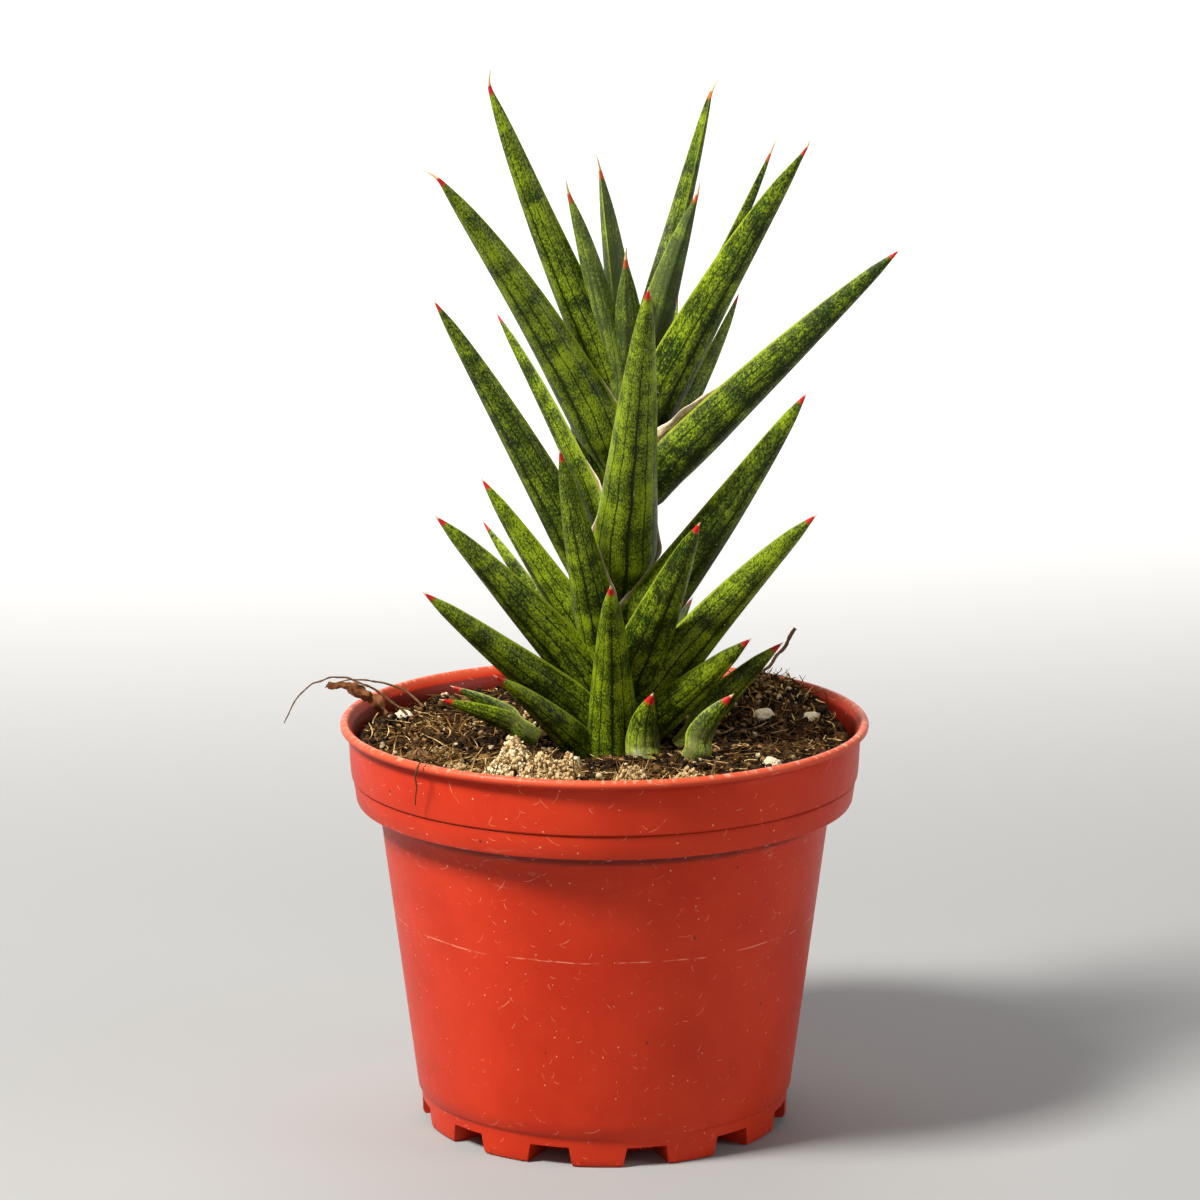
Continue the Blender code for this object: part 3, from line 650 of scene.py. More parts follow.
bands = wire.vector(around_mm * 0.10, along_mm * 0.20 + wander * 0.8, seed + 5.0).noise(1.0, 2.0, 0.5, 0.4)
patches = wire.vector(around_mm * 0.40, along_mm * 0.16, seed + 1.0).noise(1.0, 3.0, 0.6)
wiggle = (wire.vector(along_mm * 0.12, seed, 4.0).noise(1.0, 2.0) - 0.5) * 0.12
line_way = across + wiggle
fading = share.step(0.98, 0.5)
centre_line = line_way.near(0.0, 0.15) * 0.14 + line_way.near(0.0, 0.045) * 0.5
side_lines = line_way.near(-0.34, 0.03).math("MAXIMUM", line_way.near(0.34, 0.03))
outer_lines = line_way.near(-0.64, 0.03).math("MAXIMUM", line_way.near(0.64, 0.03))
lines = (centre_line + side_lines * 0.36 + outer_lines * 0.3) * fading
edge = abs(across).step(0.90, 0.985)
leaf_shade = wire.vector(seed, 0.5, 0.5).noise(2.3, 0.0)
level = grains * 1.35 + fine_grains * 0.55 + bands * 0.75 + patches * 0.6 + lines - edge * 0.3
level = level + (leaf_shade - 0.5) * 0.4 + young * 0.05
leaf_color = level.step(1.31, 1.66).mix(LIME, LEAF_GREEN)
leaf_color = level.step(1.60, 1.84).mix(leaf_color, DARK_GREEN)
leaf_color = (edge * 0.5).mix(leaf_color, (0.26, 0.29, 0.035))
leaf_color = (young * 0.22).mix(leaf_color, (0.26, 0.33, 0.12))
foot_mark = along_mm.step(9.0, 1.0) * patches.step(0.3, 0.6)
leaf_color = (foot_mark * 0.4).mix(leaf_color, (0.30, 0.30, 0.10))
tip_way = from_tip + (patches - 0.5) * 1.2
leaf_color = tip_way.step(3.4, 2.6).mix(leaf_color, (0.30, 0.10, 0.012))
leaf_color = tip_way.step(2.9, 2.3).mix(leaf_color, amber.mix(HORN_RED, HORN_AMBER))
leaf_color = tip_way.step(1.1, 0.6).mix(leaf_color, HORN_CREAM)
leaf_dust = specks(wire.vector(around_mm, along_mm, 0.0), 3.4, 0.16, 0.22)
leaf_color = (leaf_dust * 0.6).mix(leaf_color, (0.70, 0.74, 0.56))
feed(shader, "Base Color", leaf_color)
feed(shader, "Roughness", grains * 0.25 + 0.32 + leaf_dust * 0.2)
fibres = wire.vector(around_mm * 3.0, along_mm * 0.12, seed).noise(1.0, 2.0)
feed(shader, "Normal", (fibres * 0.07 + grains * 0.07 + leaf_dust * 0.05).bump(0.8, 0.001))
print("leaf skin:", len(leaf_skin.node_tree.nodes), "shader nodes")

# %% The leaves
YOUNG = {"leaf_28": 1.0, "leaf_30": 1.0, "leaf_31": 1.0, "leaf_32": 0.6, "leaf_24": 0.4}
AMBER = {"leaf_27": 1.0, "leaf_28": 0.5, "leaf_29": 1.0, "leaf_30": 0.8, "leaf_31": 0.8, "leaf_32": 0.8}
for number, node in enumerate(LEAVES):
    points, faces, numbers = sweep_leaf(node, number + 1.0)
    numbers["young"] = np.full(len(points), YOUNG.get(node, 0.0))
    numbers["amber"] = np.full(len(points), AMBER.get(node, 0.0))
    add_piece("fine_" + node, points, faces, leaf_skin, "leaf", [node], 50.0, **numbers)
print(len(LEAVES), "leaves swept")

# %% [markdown]
# ## Papery margins
#
# Near the stem the hard edge of many leaves dries into a thin cream strip that curls away from
# the leaf. It is a ribbon that runs along the leaf's own edge line. Its width and curl wander,
# so that no two look the same.

# %% Papery margins
# leaf: which edge (1 is to the right as seen from outside), from and to share, width in mm.
MARGINS = (
    ("leaf_17", -1, 0.02, 0.34, 2.0),
    ("leaf_17", 1, 0.02, 0.32, 1.8),
    ("leaf_28", -1, 0.04, 0.55, 1.1),
    ("leaf_14", 1, 0.05, 0.62, 0.7),
    ("leaf_13", 1, 0.08, 0.42, 0.8),
    ("leaf_08", 1, 0.08, 0.34, 0.6),
    ("leaf_23", 1, 0.08, 0.36, 0.6),
    ("leaf_20", 1, 0.10, 0.40, 0.9),
    ("leaf_15", -1, 0.05, 0.35, 0.8),
    ("leaf_09", -1, 0.08, 0.30, 0.7),
    ("leaf_21", -1, 0.14, 0.46, 1.9),
    ("leaf_25", -1, 0.10, 0.26, 0.5),
    ("leaf_06", 1, 0.08, 0.26, 0.6),
    ("leaf_07", -1, 0.08, 0.26, 0.6),
    ("leaf_16", 1, 0.08, 0.30, 0.6),
)
dry_margin, shader, wire = new_finish("dry_margin", 0.75)
strip_along, strip_across, strip_seed = wire.attribute("strip_place", "Vector").parts()
streaks = wire.vector(strip_along * 0.5, strip_across * 3.0, strip_seed).noise(1.0, 4.0, 0.65)
strip_color = streaks.step(0.35, 0.65).mix((0.30, 0.15, 0.06), (0.68, 0.56, 0.36))
strip_color = strip_across.step(0.55, 1.0).mix(strip_color, (0.74, 0.62, 0.45))
feed(shader, "Base Color", strip_color)
feed(shader, "Normal", (streaks * 0.1).bump(0.6, 0.001))


def resample(steps, places, vectors):
    """Vectors known at places, mixed to give one at each step."""
    return np.stack([np.interp(steps, places, vectors[:, axis]) for axis in range(3)], 1)


def add_margin(number, node, edge_side, low, high, wide):
    """A thin ribbon along one edge of a leaf, closed on both faces."""
    share, middle, upward, half, _, side, length = leaf_frames(node)
    steps = np.linspace(low, high, 60)
    edge_line = middle + side * (half * edge_side)[:, None]
    lift = 0.45 * half * (1.0 + 0.3 * share) * smooth(0.0, 0.2, share)
    edge_line = edge_line + upward * lift[:, None]
    line = resample(steps, share, edge_line)
    upper = resample(steps, share, upward)
    beside = resample(steps, share, side) * edge_side
    rings, places = [], []
    for step, share_here in enumerate(steps):
        taper = min(1.0, (high - share_here) / 0.12)
        wander = noise.noise(Vector((share_here * 14.0, number, 0.0)))
        reach = wide * max(taper, 0.05) * (1.0 + 0.6 * wander)
        curl = 0.5 + 1.3 * noise.noise(Vector((share_here * 7.0, number, 5.0)))
        ring = []
        for place in (0.0, 0.33, 0.66, 1.0):
            turn = curl * place
            away = beside[step] * math.cos(turn) + upper[step] * math.sin(turn)
            ring.append(line[step] - beside[step] * 0.15 + away * reach * place)
            places.append((share_here * length, place, number * 3.1))
        rings.append(ring)
    sheet = np.array(rings)
    thick = upper[:, None, :] * 0.07
    both = np.concatenate([sheet + thick, (sheet - thick)[:, ::-1]], 1)
    numbers = np.array(places).reshape(len(steps), 4, 3)
    numbers = np.concatenate([numbers, numbers[:, ::-1]], 1).reshape(-1, 3)
    faces = ring_faces(len(steps), 8, capped=True)
    name = f"margin_{number:02d}"
    add_piece(name, both.reshape(-1, 3), faces, dry_margin, "leaf", (), 60.0, strip_place=numbers)


for number, margin in enumerate(MARGINS):
    add_margin(number + 1, *margin)
print(len(MARGINS), "papery margins")

# %% [markdown]
# ## The potting mix
#
# A dry mix looks rich because it holds many things at once: crumbs of peat, straw-like fibres,
# pale grit and dried moss. The CAD mix is one smooth body, so its top is sampled by dropping rays
# on it. Everything is then laid on that surface. Each kind is one mesh of many small pieces, with
# a tint stored on each piece, so that one material gives a whole range of browns.

# %% The surface of the mix
MIX_RADIUS = box_mm("potting_mix")[1][0] - 0.1
SURFACE_RINGS = 110
SURFACE_TURNS = 400
chance = np.random.default_rng(11)
mix_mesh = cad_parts["potting_mix"].data
mix_faces = [face.vertices for face in mix_mesh.polygons]
mix_tree = BVHTree.FromPolygons([vertex.co / MM for vertex in mix_mesh.vertices], mix_faces)
surface_radii = np.linspace(0.0, MIX_RADIUS, SURFACE_RINGS)
surface_angles = np.linspace(0.0, 2.0 * math.pi, SURFACE_TURNS, endpoint=False)
heights = np.zeros((SURFACE_RINGS, SURFACE_TURNS))
MIX_FLOOR = POT_TOP - 9.5
for i, radius in enumerate(surface_radii):
    for j, angle in enumerate(surface_angles):
        reach = min(radius, MIX_RADIUS - 0.6)
        above = Vector((reach * math.cos(angle), reach * math.sin(angle), 200.0))
        hit = mix_tree.ray_cast(above, Vector((0.0, 0.0, -1.0)))[0]
        heights[i, j] = hit.z if hit and hit.z > MIX_FLOOR else MIX_FLOOR
for _ in range(3):
    for turn in (-3, 3):
        heights = np.maximum(heights, np.roll(heights, turn, 1) - 0.6)
    heights[1:-1] = (heights[:-2] + 2.0 * heights[1:-1] + heights[2:]) / 4.0


def height_at(x, y):
    """The height of the mix at places, by mixing the four nearest samples."""
    ring = np.clip(np.hypot(x, y) / MIX_RADIUS, 0.0, 0.9999) * (SURFACE_RINGS - 1)
    turn = (np.arctan2(y, x) / (2.0 * math.pi) % 1.0) * SURFACE_TURNS
    i, j = ring.astype(int), turn.astype(int) % SURFACE_TURNS
    k, part, way = (j + 1) % SURFACE_TURNS, ring - ring.astype(int), turn - np.floor(turn)
    low = heights[i, j] * (1.0 - way) + heights[i, k] * way
    high = heights[i + 1, j] * (1.0 - way) + heights[i + 1, k] * way
    return low * (1.0 - part) + high * part


print("mix from", round(heights.min(), 1), "to", round(heights.max(), 1), "mm high")

# %% The mix's finishes
soil, shader, wire = new_finish("soil", 0.95, Specular_IOR_Level=0.08)
clods = wire.vector(*object_mm(wire)).noise(0.45, 5.0, 0.7)
soil_color = clods.step(0.35, 0.8).mix((0.006, 0.004, 0.002), (0.075, 0.042, 0.016))
feed(shader, "Base Color", soil_color)
feed(shader, "Normal", (clods * 0.8).bump(1.0, 0.001))


def tinted_finish(name, first, second, third, scale, roughness=0.9):
    """A matt finish that runs through three colours by each piece's tint, with grain over it."""
    made, shader, wire = new_finish(name, roughness, Specular_IOR_Level=0.1)
    tint = wire.attribute("tint")
    grain = wire.vector(*object_mm(wire)).noise(scale, 4.0, 0.65)
    way = tint + (grain - 0.5) * 0.5
    color = way.step(0.0, 0.55).mix(first, second)
    color = way.step(0.55, 1.0).mix(color, third)
    feed(shader, "Base Color", color)
    feed(shader, "Normal", (grain * 0.25).bump(0.8, 0.001))
    return made


PEAT = ((0.006, 0.004, 0.002), (0.045, 0.023, 0.008), (0.36, 0.20, 0.07))
STRAW = ((0.06, 0.024, 0.006), (0.24, 0.115, 0.030), (0.86, 0.62, 0.26))
GRIT = ((0.30, 0.20, 0.10), (0.60, 0.48, 0.30), (0.82, 0.74, 0.58))
DRIED_MOSS = ((0.24, 0.14, 0.055), (0.60, 0.43, 0.21), (0.88, 0.77, 0.52))
PUMICE = ((0.42, 0.32, 0.19), (0.66, 0.57, 0.40), (0.82, 0.76, 0.62))
BARK = ((0.035, 0.016, 0.007), (0.12, 0.058, 0.024), (0.26, 0.15, 0.07))
peat_crumb = tinted_finish("peat_crumb", *PEAT, 1.3)
straw_fibre = tinted_finish("straw_fibre", *STRAW, 1.5)
pale_grit = tinted_finish("pale_grit", *GRIT, 1.2)
dry_moss = tinted_finish("dry_moss", *DRIED_MOSS, 1.0)
pumice = tinted_finish("pumice", *PUMICE, 1.1)
bark = tinted_finish("bark", *BARK, 0.7)
print("seven finishes for what lies in the pot")

# %% [markdown]
# ## Scattering
#
# Lumps and fibres are laid by chance, thousands at a time. Arrays do this quickly: one line moves
# every point of every lump. The chance numbers start from a fixed seed, so each run gives the
# same pot.


# %% Scattering
def drawn(count, low, more, power=1.0):
    """Chance numbers from low to low + more, gathered near low by a high power."""
    return low + more * chance.random(count) ** power


def spots(count, middle=(0.0, 0.0), spread=None):
    """Places on the mix: all over, or gathered round a middle."""
    if spread is None:
        radius = (MIX_RADIUS - 0.8) * np.sqrt(chance.random(count))
        angle = chance.random(count) * 2.0 * math.pi
        return radius * np.cos(angle), radius * np.sin(angle)
    x = middle[0] + spread * chance.normal(size=count)
    y = middle[1] + spread * chance.normal(size=count)
    return x, y


def lump_shape(subdivisions):
    """The points and faces of a ball made of triangles."""
    ball = bmesh.new()
    bmesh.ops.create_icosphere(ball, subdivisions=subdivisions, radius=1.0)
    points = np.array([vertex.co[:] for vertex in ball.verts])
    faces = np.array([[vertex.index for vertex in face.verts] for face in ball.faces])
    ball.free()
    return points, faces


def scatter_lumps(name, places, sizes, tints, finish, subdivisions=1, flat=0.7, rough=0.22):
    """Many rough lumps in one mesh, each turned and squashed its own way."""
    shape, faces = lump_shape(subdivisions)
    count, corners = len(places), len(shape)
    turns = np.linalg.qr(chance.normal(size=(count, 3, 3)))[0]
    squash = 1.0 - flat * chance.random((count, 1, 3)) * (0.5, 0.8, 1.0)
    bumps = 1.0 + rough * chance.normal(size=(count, corners, 1))
    points = np.einsum("nij,ncj->nci", turns, shape[None] * squash * bumps)
    points = points * sizes[:, None, None] + places[:, None]
    every = faces[None] + (corners * np.arange(count))[:, None, None]
    points, faces, tint = points.reshape(-1, 3), every.reshape(-1, 3).tolist(), np.repeat(tints, corners)
    add_piece(name, points, faces, finish, "potting_mix", (), 60.0, tint=tint)


def lay_lumps(name, count, size, tint, lift, raised, finish, *shape):
    """Lumps all over the mix. The size and the tint are drawn: least, more and power."""
    x, y = spots(count)
    sizes = drawn(count, *size)
    places = np.stack([x, y, height_at(x, y) + lift * sizes + raised], 1)
    scatter_lumps(name, places, sizes, drawn(count, *tint), finish, *shape)


def scatter_fibres(name, x, y, headings, lengths, radii, tints, lift):
    """Many thin bent fibres in one mesh. Each follows the mix and lifts off it at one end."""
    count, rings = len(x), 7
    along = np.linspace(-0.5, 0.5, rings)
    bend = chance.normal(size=count)[:, None] * 0.9
    heading = headings[:, None] + bend * along
    line_x = x[:, None] + lengths[:, None] * along * np.cos(heading)
    line_y = y[:, None] + lengths[:, None] * along * np.sin(heading)
    reach = np.hypot(line_x, line_y)
    inside = np.minimum(1.0, (MIX_RADIUS - 0.4) / np.maximum(reach, 0.01))
    line_x, line_y = line_x * inside, line_y * inside
    level = height_at(line_x, line_y)
    level = 0.5 * level + 0.5 * level.mean(1, keepdims=True)
    rise = lift[:, None] * (along + 0.5) ** 1.5 + radii[:, None] * 1.2
    rise = rise + drawn((count, 1), 0.3, 0.4)
    line = np.stack([line_x, line_y, level + rise], 2)
    across = np.stack([-np.sin(heading), np.cos(heading), np.zeros_like(heading)], 2)
    taper = (1.0 - 0.5 * np.abs(2.0 * along) ** 2)[None, :, None]
    thick = radii[:, None, None] * taper
    points = np.empty((count, rings, 3, 3))
    upward = np.array((0.0, 0.0, 1.0))
    for corner, angle in enumerate((0.0, 2.1, 4.2)):
        points[:, :, corner] = line + thick * (across * math.cos(angle) + upward * math.sin(angle) * 0.7)
    faces = np.array(ring_faces(rings, 3))
    every = faces[None] + (rings * 3 * np.arange(count))[:, None, None]
    ends = [(3 * rings * n + 2, 3 * rings * n + 1, 3 * rings * n) for n in range(count)]
    ends += [(3 * rings * n - 3, 3 * rings * n - 2, 3 * rings * n - 1) for n in range(1, count + 1)]
    faces = every.reshape(-1, 4).tolist() + ends
    tint = np.repeat(tints, rings * 3)
    add_piece(name, points.reshape(-1, 3), faces, straw_fibre, "potting_mix", (), 60.0, tint=tint)


print("scattering ready")

# %% The mix and its crumbs
rings, turns = np.meshgrid(surface_radii, surface_angles, indexing="ij")
fine_x, fine_y = rings * np.cos(turns), rings * np.sin(turns)
fine_z = heights.copy()
for i in range(SURFACE_RINGS):
    for j in range(SURFACE_TURNS):
        place = Vector((fine_x[i, j] / 2.2, fine_y[i, j] / 2.2, 1.0))
        fine_z[i, j] += 1.3 * noise.noise(place) + 0.6 * noise.noise(2.6 * place)
top = np.stack([fine_x, fine_y, fine_z], 2).reshape(-1, 3)
under = around(MIX_RADIUS, MIX_FLOOR - 6.0, SURFACE_TURNS)
surface = np.concatenate([top, under])
surface_faces = ring_faces(SURFACE_RINGS + 1, SURFACE_TURNS)
surface_faces.append(tuple(range(len(surface) - SURFACE_TURNS, len(surface))))
add_piece("peat_surface", surface, surface_faces, soil, "potting_mix", ["potting_mix"], 60.0)

lay_lumps("small_crumbs", 6500, (0.35, 0.75, 2), (0.0, 1.0, 1.8), 0.5, 0.0, peat_crumb)
lay_lumps("peat_lumps", 620, (0.7, 1.0, 2), (0.0, 0.8, 1.5), 0.3, 0.0, peat_crumb, 2, 0.6, 0.12)
lay_lumps("grit", 480, (0.22, 0.7, 3), (0.0, 0.6, 1.0), 0.9, 0.2, pale_grit, 2, 0.6, 0.2)
print("crumbs and grit on the mix")

# %% [markdown]
# ## Fibres and moss
#
# Straw-like fibres lie all over the mix, thickest at the front left. Here and there a tangle of
# them stands up, and clumps of dried moss heap against the front leaves as pale beads.

# %% Fibres
FULL_TURN = 2.0 * math.pi
FIBRES = 1300
x, y = spots(FIBRES)
headings, lengths = drawn(FIBRES, 0.0, FULL_TURN), drawn(FIBRES, 2.0, 5.0)
radii, tints, lift = drawn(FIBRES, 0.10, 0.14), drawn(FIBRES, 0.0, 0.9, 2), drawn(FIBRES, 0.0, 1.5, 2)
scatter_fibres("fibres", x, y, headings, lengths, radii, tints, lift)
STRAWS = 420
x, y = spots(STRAWS, (-26.0, -35.0), 11.0)
headings, lengths = 0.45 * chance.normal(size=STRAWS) + 0.1, drawn(STRAWS, 3.0, 8.0, 2)
radii, tints, lift = drawn(STRAWS, 0.12, 0.16), drawn(STRAWS, 0.15, 0.85, 1.5), drawn(STRAWS, 0.0, 2.2, 2)
scatter_fibres("front_straw", x, y, headings, lengths, radii, tints, lift)
# Where a tangle of fibres stands up, how wide it spreads and how high it lifts.
TANGLES = (
    ((-19.0, -38.0), 4.0, 7.5, 150),
    ((-12.0, -43.0), 3.0, 3.5, 90),
    ((6.0, -43.0), 3.5, 4.5, 100),
    ((18.0, -42.5), 3.0, 3.0, 80),
    ((-40.0, -20.0), 6.0, 3.5, 150),
    ((-36.0, 6.0), 6.0, 3.0, 120),
    ((36.0, 26.0), 7.0, 3.5, 160),
    ((44.0, -4.0), 5.0, 2.5, 110),
)
for number, (middle, spread, lift, count) in enumerate(TANGLES):
    x, y = spots(count, middle, spread)
    headings, lengths = drawn(count, 0.0, FULL_TURN), drawn(count, 1.5, 4.5)
    radii, tints, lifts = drawn(count, 0.08, 0.16), drawn(count, 0.0, 1.0, 1.6), drawn(count, 0.0, lift)
    scatter_fibres(f"tangle_{number + 1:02d}", x, y, headings, lengths, radii, tints, lifts)
print("fibres on the mix")

# %% Moss
# Where a clump of dried moss sits, how wide it spreads, how high it heaps and how many beads.
MOSS = (
    ((-20.0, -38.0), 3.8, 12.0, 1100, 1.0),
    ((-13.5, -41.0), 3.2, 7.5, 520, 0.8),
    ((-12.0, -43.0), 2.6, 4.5, 200, 0.7),
    ((-8.0, -42.0), 2.0, 7.5, 320, 0.6),
    ((6.0, -43.5), 2.8, 4.5, 320, 0.6),
    ((18.5, -43.0), 2.6, 4.0, 260, 0.7),
    ((-33.0, -30.0), 3.4, 2.0, 130, 0.5),
    ((-38.0, -16.0), 3.0, 2.0, 100, 0.4),
    ((38.0, 26.0), 4.0, 2.0, 100, 0.4),
)
moss_places, moss_sizes, moss_tints = [], [], []
for middle, spread, heap, count, pale in MOSS:
    x, y = spots(count, middle, spread)
    far = ((x - middle[0]) ** 2 + (y - middle[1]) ** 2) / (2.0 * spread * spread)
    keep = np.hypot(x, y) < MIX_RADIUS - 1.0
    level = height_at(x, y) + heap * np.exp(-far) * (0.15 + 0.85 * chance.random(count) ** 0.7)
    moss_places.append(np.stack([x, y, level], 1)[keep])
    moss_sizes.append((0.26 + 0.50 * chance.random(count) ** 1.5)[keep])
    moss_tints.append(np.clip(pale * (0.4 + 0.6 * chance.random(count)), 0.0, 1.0)[keep])
moss_places = np.concatenate(moss_places)
moss_sizes = np.concatenate(moss_sizes)
moss_tints = np.concatenate(moss_tints)
scatter_lumps("moss_beads", moss_places, moss_sizes, moss_tints, dry_moss, 1, 0.5, 0.2)
print(len(moss_places), "beads of moss")

# %% [markdown]
# ## Loose pieces
#
# Pumice lumps, bark chips, a dry leaf, roots and a twig lie on the mix and over the lip. Each is
# measured from its CAD node and made again with a broken, natural outline.

# %% Pumice and bark
for node in sorted(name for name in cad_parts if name.startswith(("pumice", "bark"))):
    low, high = box_mm(node)
    shape, faces = lump_shape(5)
    seed = float(low.sum())
    rugged = np.empty(len(shape))
    for i, point in enumerate(shape):
        place = Vector(point)
        bump = noise.noise(place * 1.6 + Vector((seed, 0.0, 0.0))) * 0.25
        pore = noise.noise(place * 6.0 + Vector((0.0, seed, 0.0)))
        rugged[i] = 1.0 + bump + 0.09 * pore - 0.10 * max(0.0, noise.noise(place * 11.0)) ** 0.5
    half = 0.5 * (high - low) * (1.0 if node.startswith("pumice") else (1.0, 1.0, 0.9))
    points = shape * rugged[:, None] * half + 0.5 * (low + high)
    tint = np.full(len(points), 0.35 + 0.4 * (seed % 1.0))
    finish, slot = (pumice, "pumice") if node.startswith("pumice") else (bark, "bark")
    add_piece("rough_" + node, points, faces.tolist(), finish, slot, [node], 60.0, tint=tint)
print("pumice and bark made")

# %% Dry pieces
DRY_LEAF = ((0.07, 0.022, 0.008), (0.22, 0.085, 0.03), (0.48, 0.28, 0.13))
DRY_ROOT = ((0.04, 0.018, 0.008), (0.15, 0.08, 0.035), (0.36, 0.22, 0.10))
TWIG = ((0.07, 0.035, 0.018), (0.20, 0.115, 0.06), (0.36, 0.25, 0.15))
dry_leaf_finish = tinted_finish("dry_leaf", *DRY_LEAF, 0.8, 0.7)
dry_root_finish = tinted_finish("dry_root", *DRY_ROOT, 1.5)
twig_finish = tinted_finish("twig", *TWIG, 1.5)
ROOT_THICK = 0.32


def middle_line(node):
    """The middle of each ring of points along a CAD thread, from one end to the other."""
    loose = list(np.unique(np.round(cad_points(node)[0], 3), axis=0))
    rings = []
    while loose:
        near = [point for point in loose if np.linalg.norm(point - loose[0]) < 1.35]
        loose = [point for point in loose if np.linalg.norm(point - near[0]) >= 1.35]
        rings.append(np.mean(near, axis=0))
    ends = max(rings, key=lambda ring: sum(np.linalg.norm(ring - other) for other in rings))
    line = [ends]
    rest = [ring for ring in rings if ring is not ends]
    while rest:
        rest.sort(key=lambda ring: np.linalg.norm(ring - line[-1]))
        line.append(rest.pop(0))
    return np.array(line)


def add_thread(name, line, thick, thin, finish, slot, stands_for, seed, kink=0.35):
    """A dry thread along a line: knotty, kinked and thinner to its end."""
    reach = np.append(0.0, np.cumsum(np.linalg.norm(np.diff(line, axis=0), axis=1)))
    steps = np.linspace(0.0, reach[-1], max(12, int(reach[-1] / 0.5)))
    path = resample(steps, reach, line)
    path = (np.roll(path, 1, 0) + path + np.roll(path, -1, 0))[1:-1] / 3.0
    points = []
    for step, place in enumerate(path):
        forward = path[min(step + 1, len(path) - 1)] - path[max(step - 1, 0)]
        forward /= np.linalg.norm(forward)
        first = np.cross(forward, (0.3, 0.5, 0.81))
        first /= np.linalg.norm(first)
        second = np.cross(forward, first)
        way = Vector((step * 0.16, seed, 0.0))
        sway = kink * np.array(noise.noise_vector(way))
        radius = thick + (thin - thick) * step / len(path)
        radius *= 1.0 + 0.45 * noise.noise(Vector((step * 0.5, seed, 3.0)))
        for corner in range(8):
            angle = 0.25 * math.pi * corner
            points.append(place + sway + radius * (first * math.cos(angle) + second * math.sin(angle)))
    faces = ring_faces(len(path), 8, capped=True)
    tint = np.full(len(points), 0.25 + 0.5 * (seed * 0.37 % 1.0))
    add_piece(name, points, faces, finish, slot, stands_for, 60.0, tint=tint)


for number, node in enumerate(sorted(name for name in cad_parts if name.startswith("dry_root"))):
    line = middle_line(node)
    add_thread("fine_" + node, line, ROOT_THICK, 0.14, dry_root_finish, "dry_root", [node], number + 1.0)
add_thread("fine_twig", middle_line("twig"), 0.5, 0.3, twig_finish, "twig", ["twig"], 9.0, 0.5)


def add_dry_leaf(node):
    """A crumpled strip that follows the CAD leaf, thin, curled and ragged at its sides."""
    start, along, side, above, length, curve, widest = measure_leaf(node)
    rings, count = 60, 18
    points = []
    for ring in range(rings):
        share = ring / (rings - 1)
        middle = start + along * (share * length) + above * float(np.polyval(curve, share))
        half = 1.15 * widest * (0.55 + 0.45 * math.sin(math.pi * min(1.0, share * 1.1)) - 0.35 * share)
        layer = []
        for corner in range(count):
            across = 2.0 * corner / (count - 1) - 1.0
            way = Vector((share * 6.0, across * 1.6, 4.0))
            crumple = 1.1 * noise.noise(way) + 0.5 * noise.noise(2.7 * way)
            ragged = 1.0 + 0.3 * noise.noise(Vector((share * 9.0, across, 1.0)))
            curl = half * 0.8 * across * across
            layer.append(middle + side * (half * ragged * across) - above * (curl + crumple))
        thick = [place + above * 0.12 for place in layer[::-1]]
        points += layer + thick
    faces = ring_faces(rings, 2 * count, capped=True)
    tint = np.full(len(points), 0.4)
    add_piece("crumpled_leaf", points, faces, dry_leaf_finish, "dry_leaf", [node], 60.0, tint=tint)


add_dry_leaf("dry_leaf")
stem_skin, shader, wire = new_finish("stem_skin", 0.5)
x, y, z = object_mm(wire)
stem_way = wire.vector(x, y, z * 0.3).noise(0.5, 3.0)
feed(shader, "Base Color", stem_way.step(0.3, 0.7).mix((0.05, 0.08, 0.01), (0.17, 0.20, 0.05)))
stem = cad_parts["stem"]
stem.data.materials.clear()
stem.data.materials.append(stem_skin)
print("dry pieces and stem finished")

# %% [markdown]
# ## Stage and light
#
# The pot stands on a plain pale sweep, which rises into the backdrop with no corner. The key
# light is soft and stands to the left and above, so the pot's right side falls into shade. A
# weak light fills the front, another opens the shade on the right, and one whitens the backdrop.

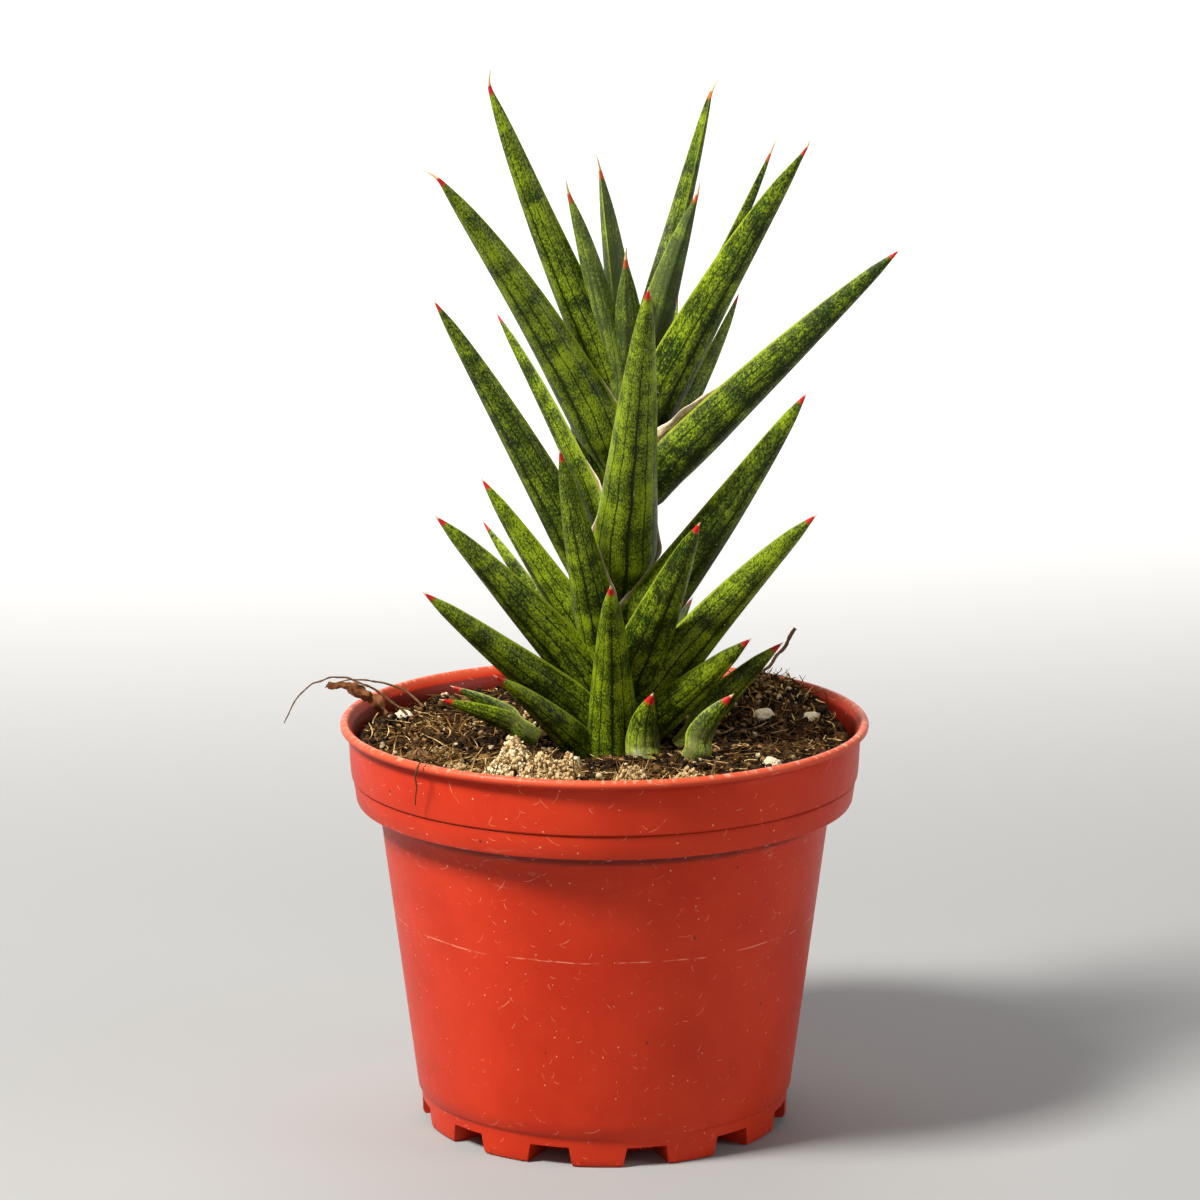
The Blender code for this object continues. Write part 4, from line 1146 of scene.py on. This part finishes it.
# %% Stage
SWEEP = ((-1.6, 0.0), (0.9, 0.0), (1.15, 0.03), (1.35, 0.12), (1.5, 0.28), (1.58, 0.5), (1.6, 2.6))
sweep_mesh = bpy.data.meshes.new("sweep")
sweep_points = [(side * 3.0, y, z) for y, z in SWEEP for side in (-1.0, 1.0)]
sweep_faces = [(2 * i, 2 * i + 1, 2 * i + 3, 2 * i + 2) for i in range(len(SWEEP) - 1)]
sweep_mesh.from_pydata(sweep_points, [], sweep_faces)
sweep_mesh.shade_smooth()
paper_finish, shader, wire = new_finish("pale_paper", 0.9, Specular_IOR_Level=0.1)
x, y, z = object_mm(wire)
feed(shader, "Base Color", y.step(150.0, 1100.0).mix((0.34, 0.34, 0.34), (0.92, 0.92, 0.92)))
sweep_mesh.materials.append(paper_finish)
sweep = bpy.data.objects.new("sweep", sweep_mesh)
bpy.context.scene.collection.objects.link(sweep)


def add_light(name, place, aim, size, power, color=(1.0, 1.0, 1.0)):
    """A square soft light that faces a point."""
    light = bpy.data.lights.new(name, "AREA")
    light.size = size
    light.energy = power
    light.color = color
    lamp = bpy.data.objects.new(name, light)
    lamp.location = place
    lamp.rotation_euler = (Vector(aim) - Vector(place)).to_track_quat("-Z", "Y").to_euler()
    bpy.context.scene.collection.objects.link(lamp)


MIDDLE = (0.0, 0.0, 0.12)
add_light("key", (-0.68, -0.42, 1.05), MIDDLE, 0.28, 29.0, (1.0, 0.98, 0.93))
add_light("fill", (-0.1, -1.5, 0.5), MIDDLE, 1.1, 2.2, (1.0, 0.98, 0.95))
add_light("side", (0.95, -0.30, 0.40), MIDDLE, 0.45, 3.0)
add_light("backdrop", (0.0, 0.55, 1.3), (0.0, 1.5, 0.5), 0.8, 14.0)
world = bpy.data.worlds.new("studio")
world.use_nodes = True
world.node_tree.nodes["Background"].inputs["Color"].default_value = (1.0, 0.98, 0.94, 1.0)
world.node_tree.nodes["Background"].inputs["Strength"].default_value = 0.13
bpy.context.scene.world = world
bpy.context.scene.view_settings.view_transform = "Standard"
print("stage and four lights")
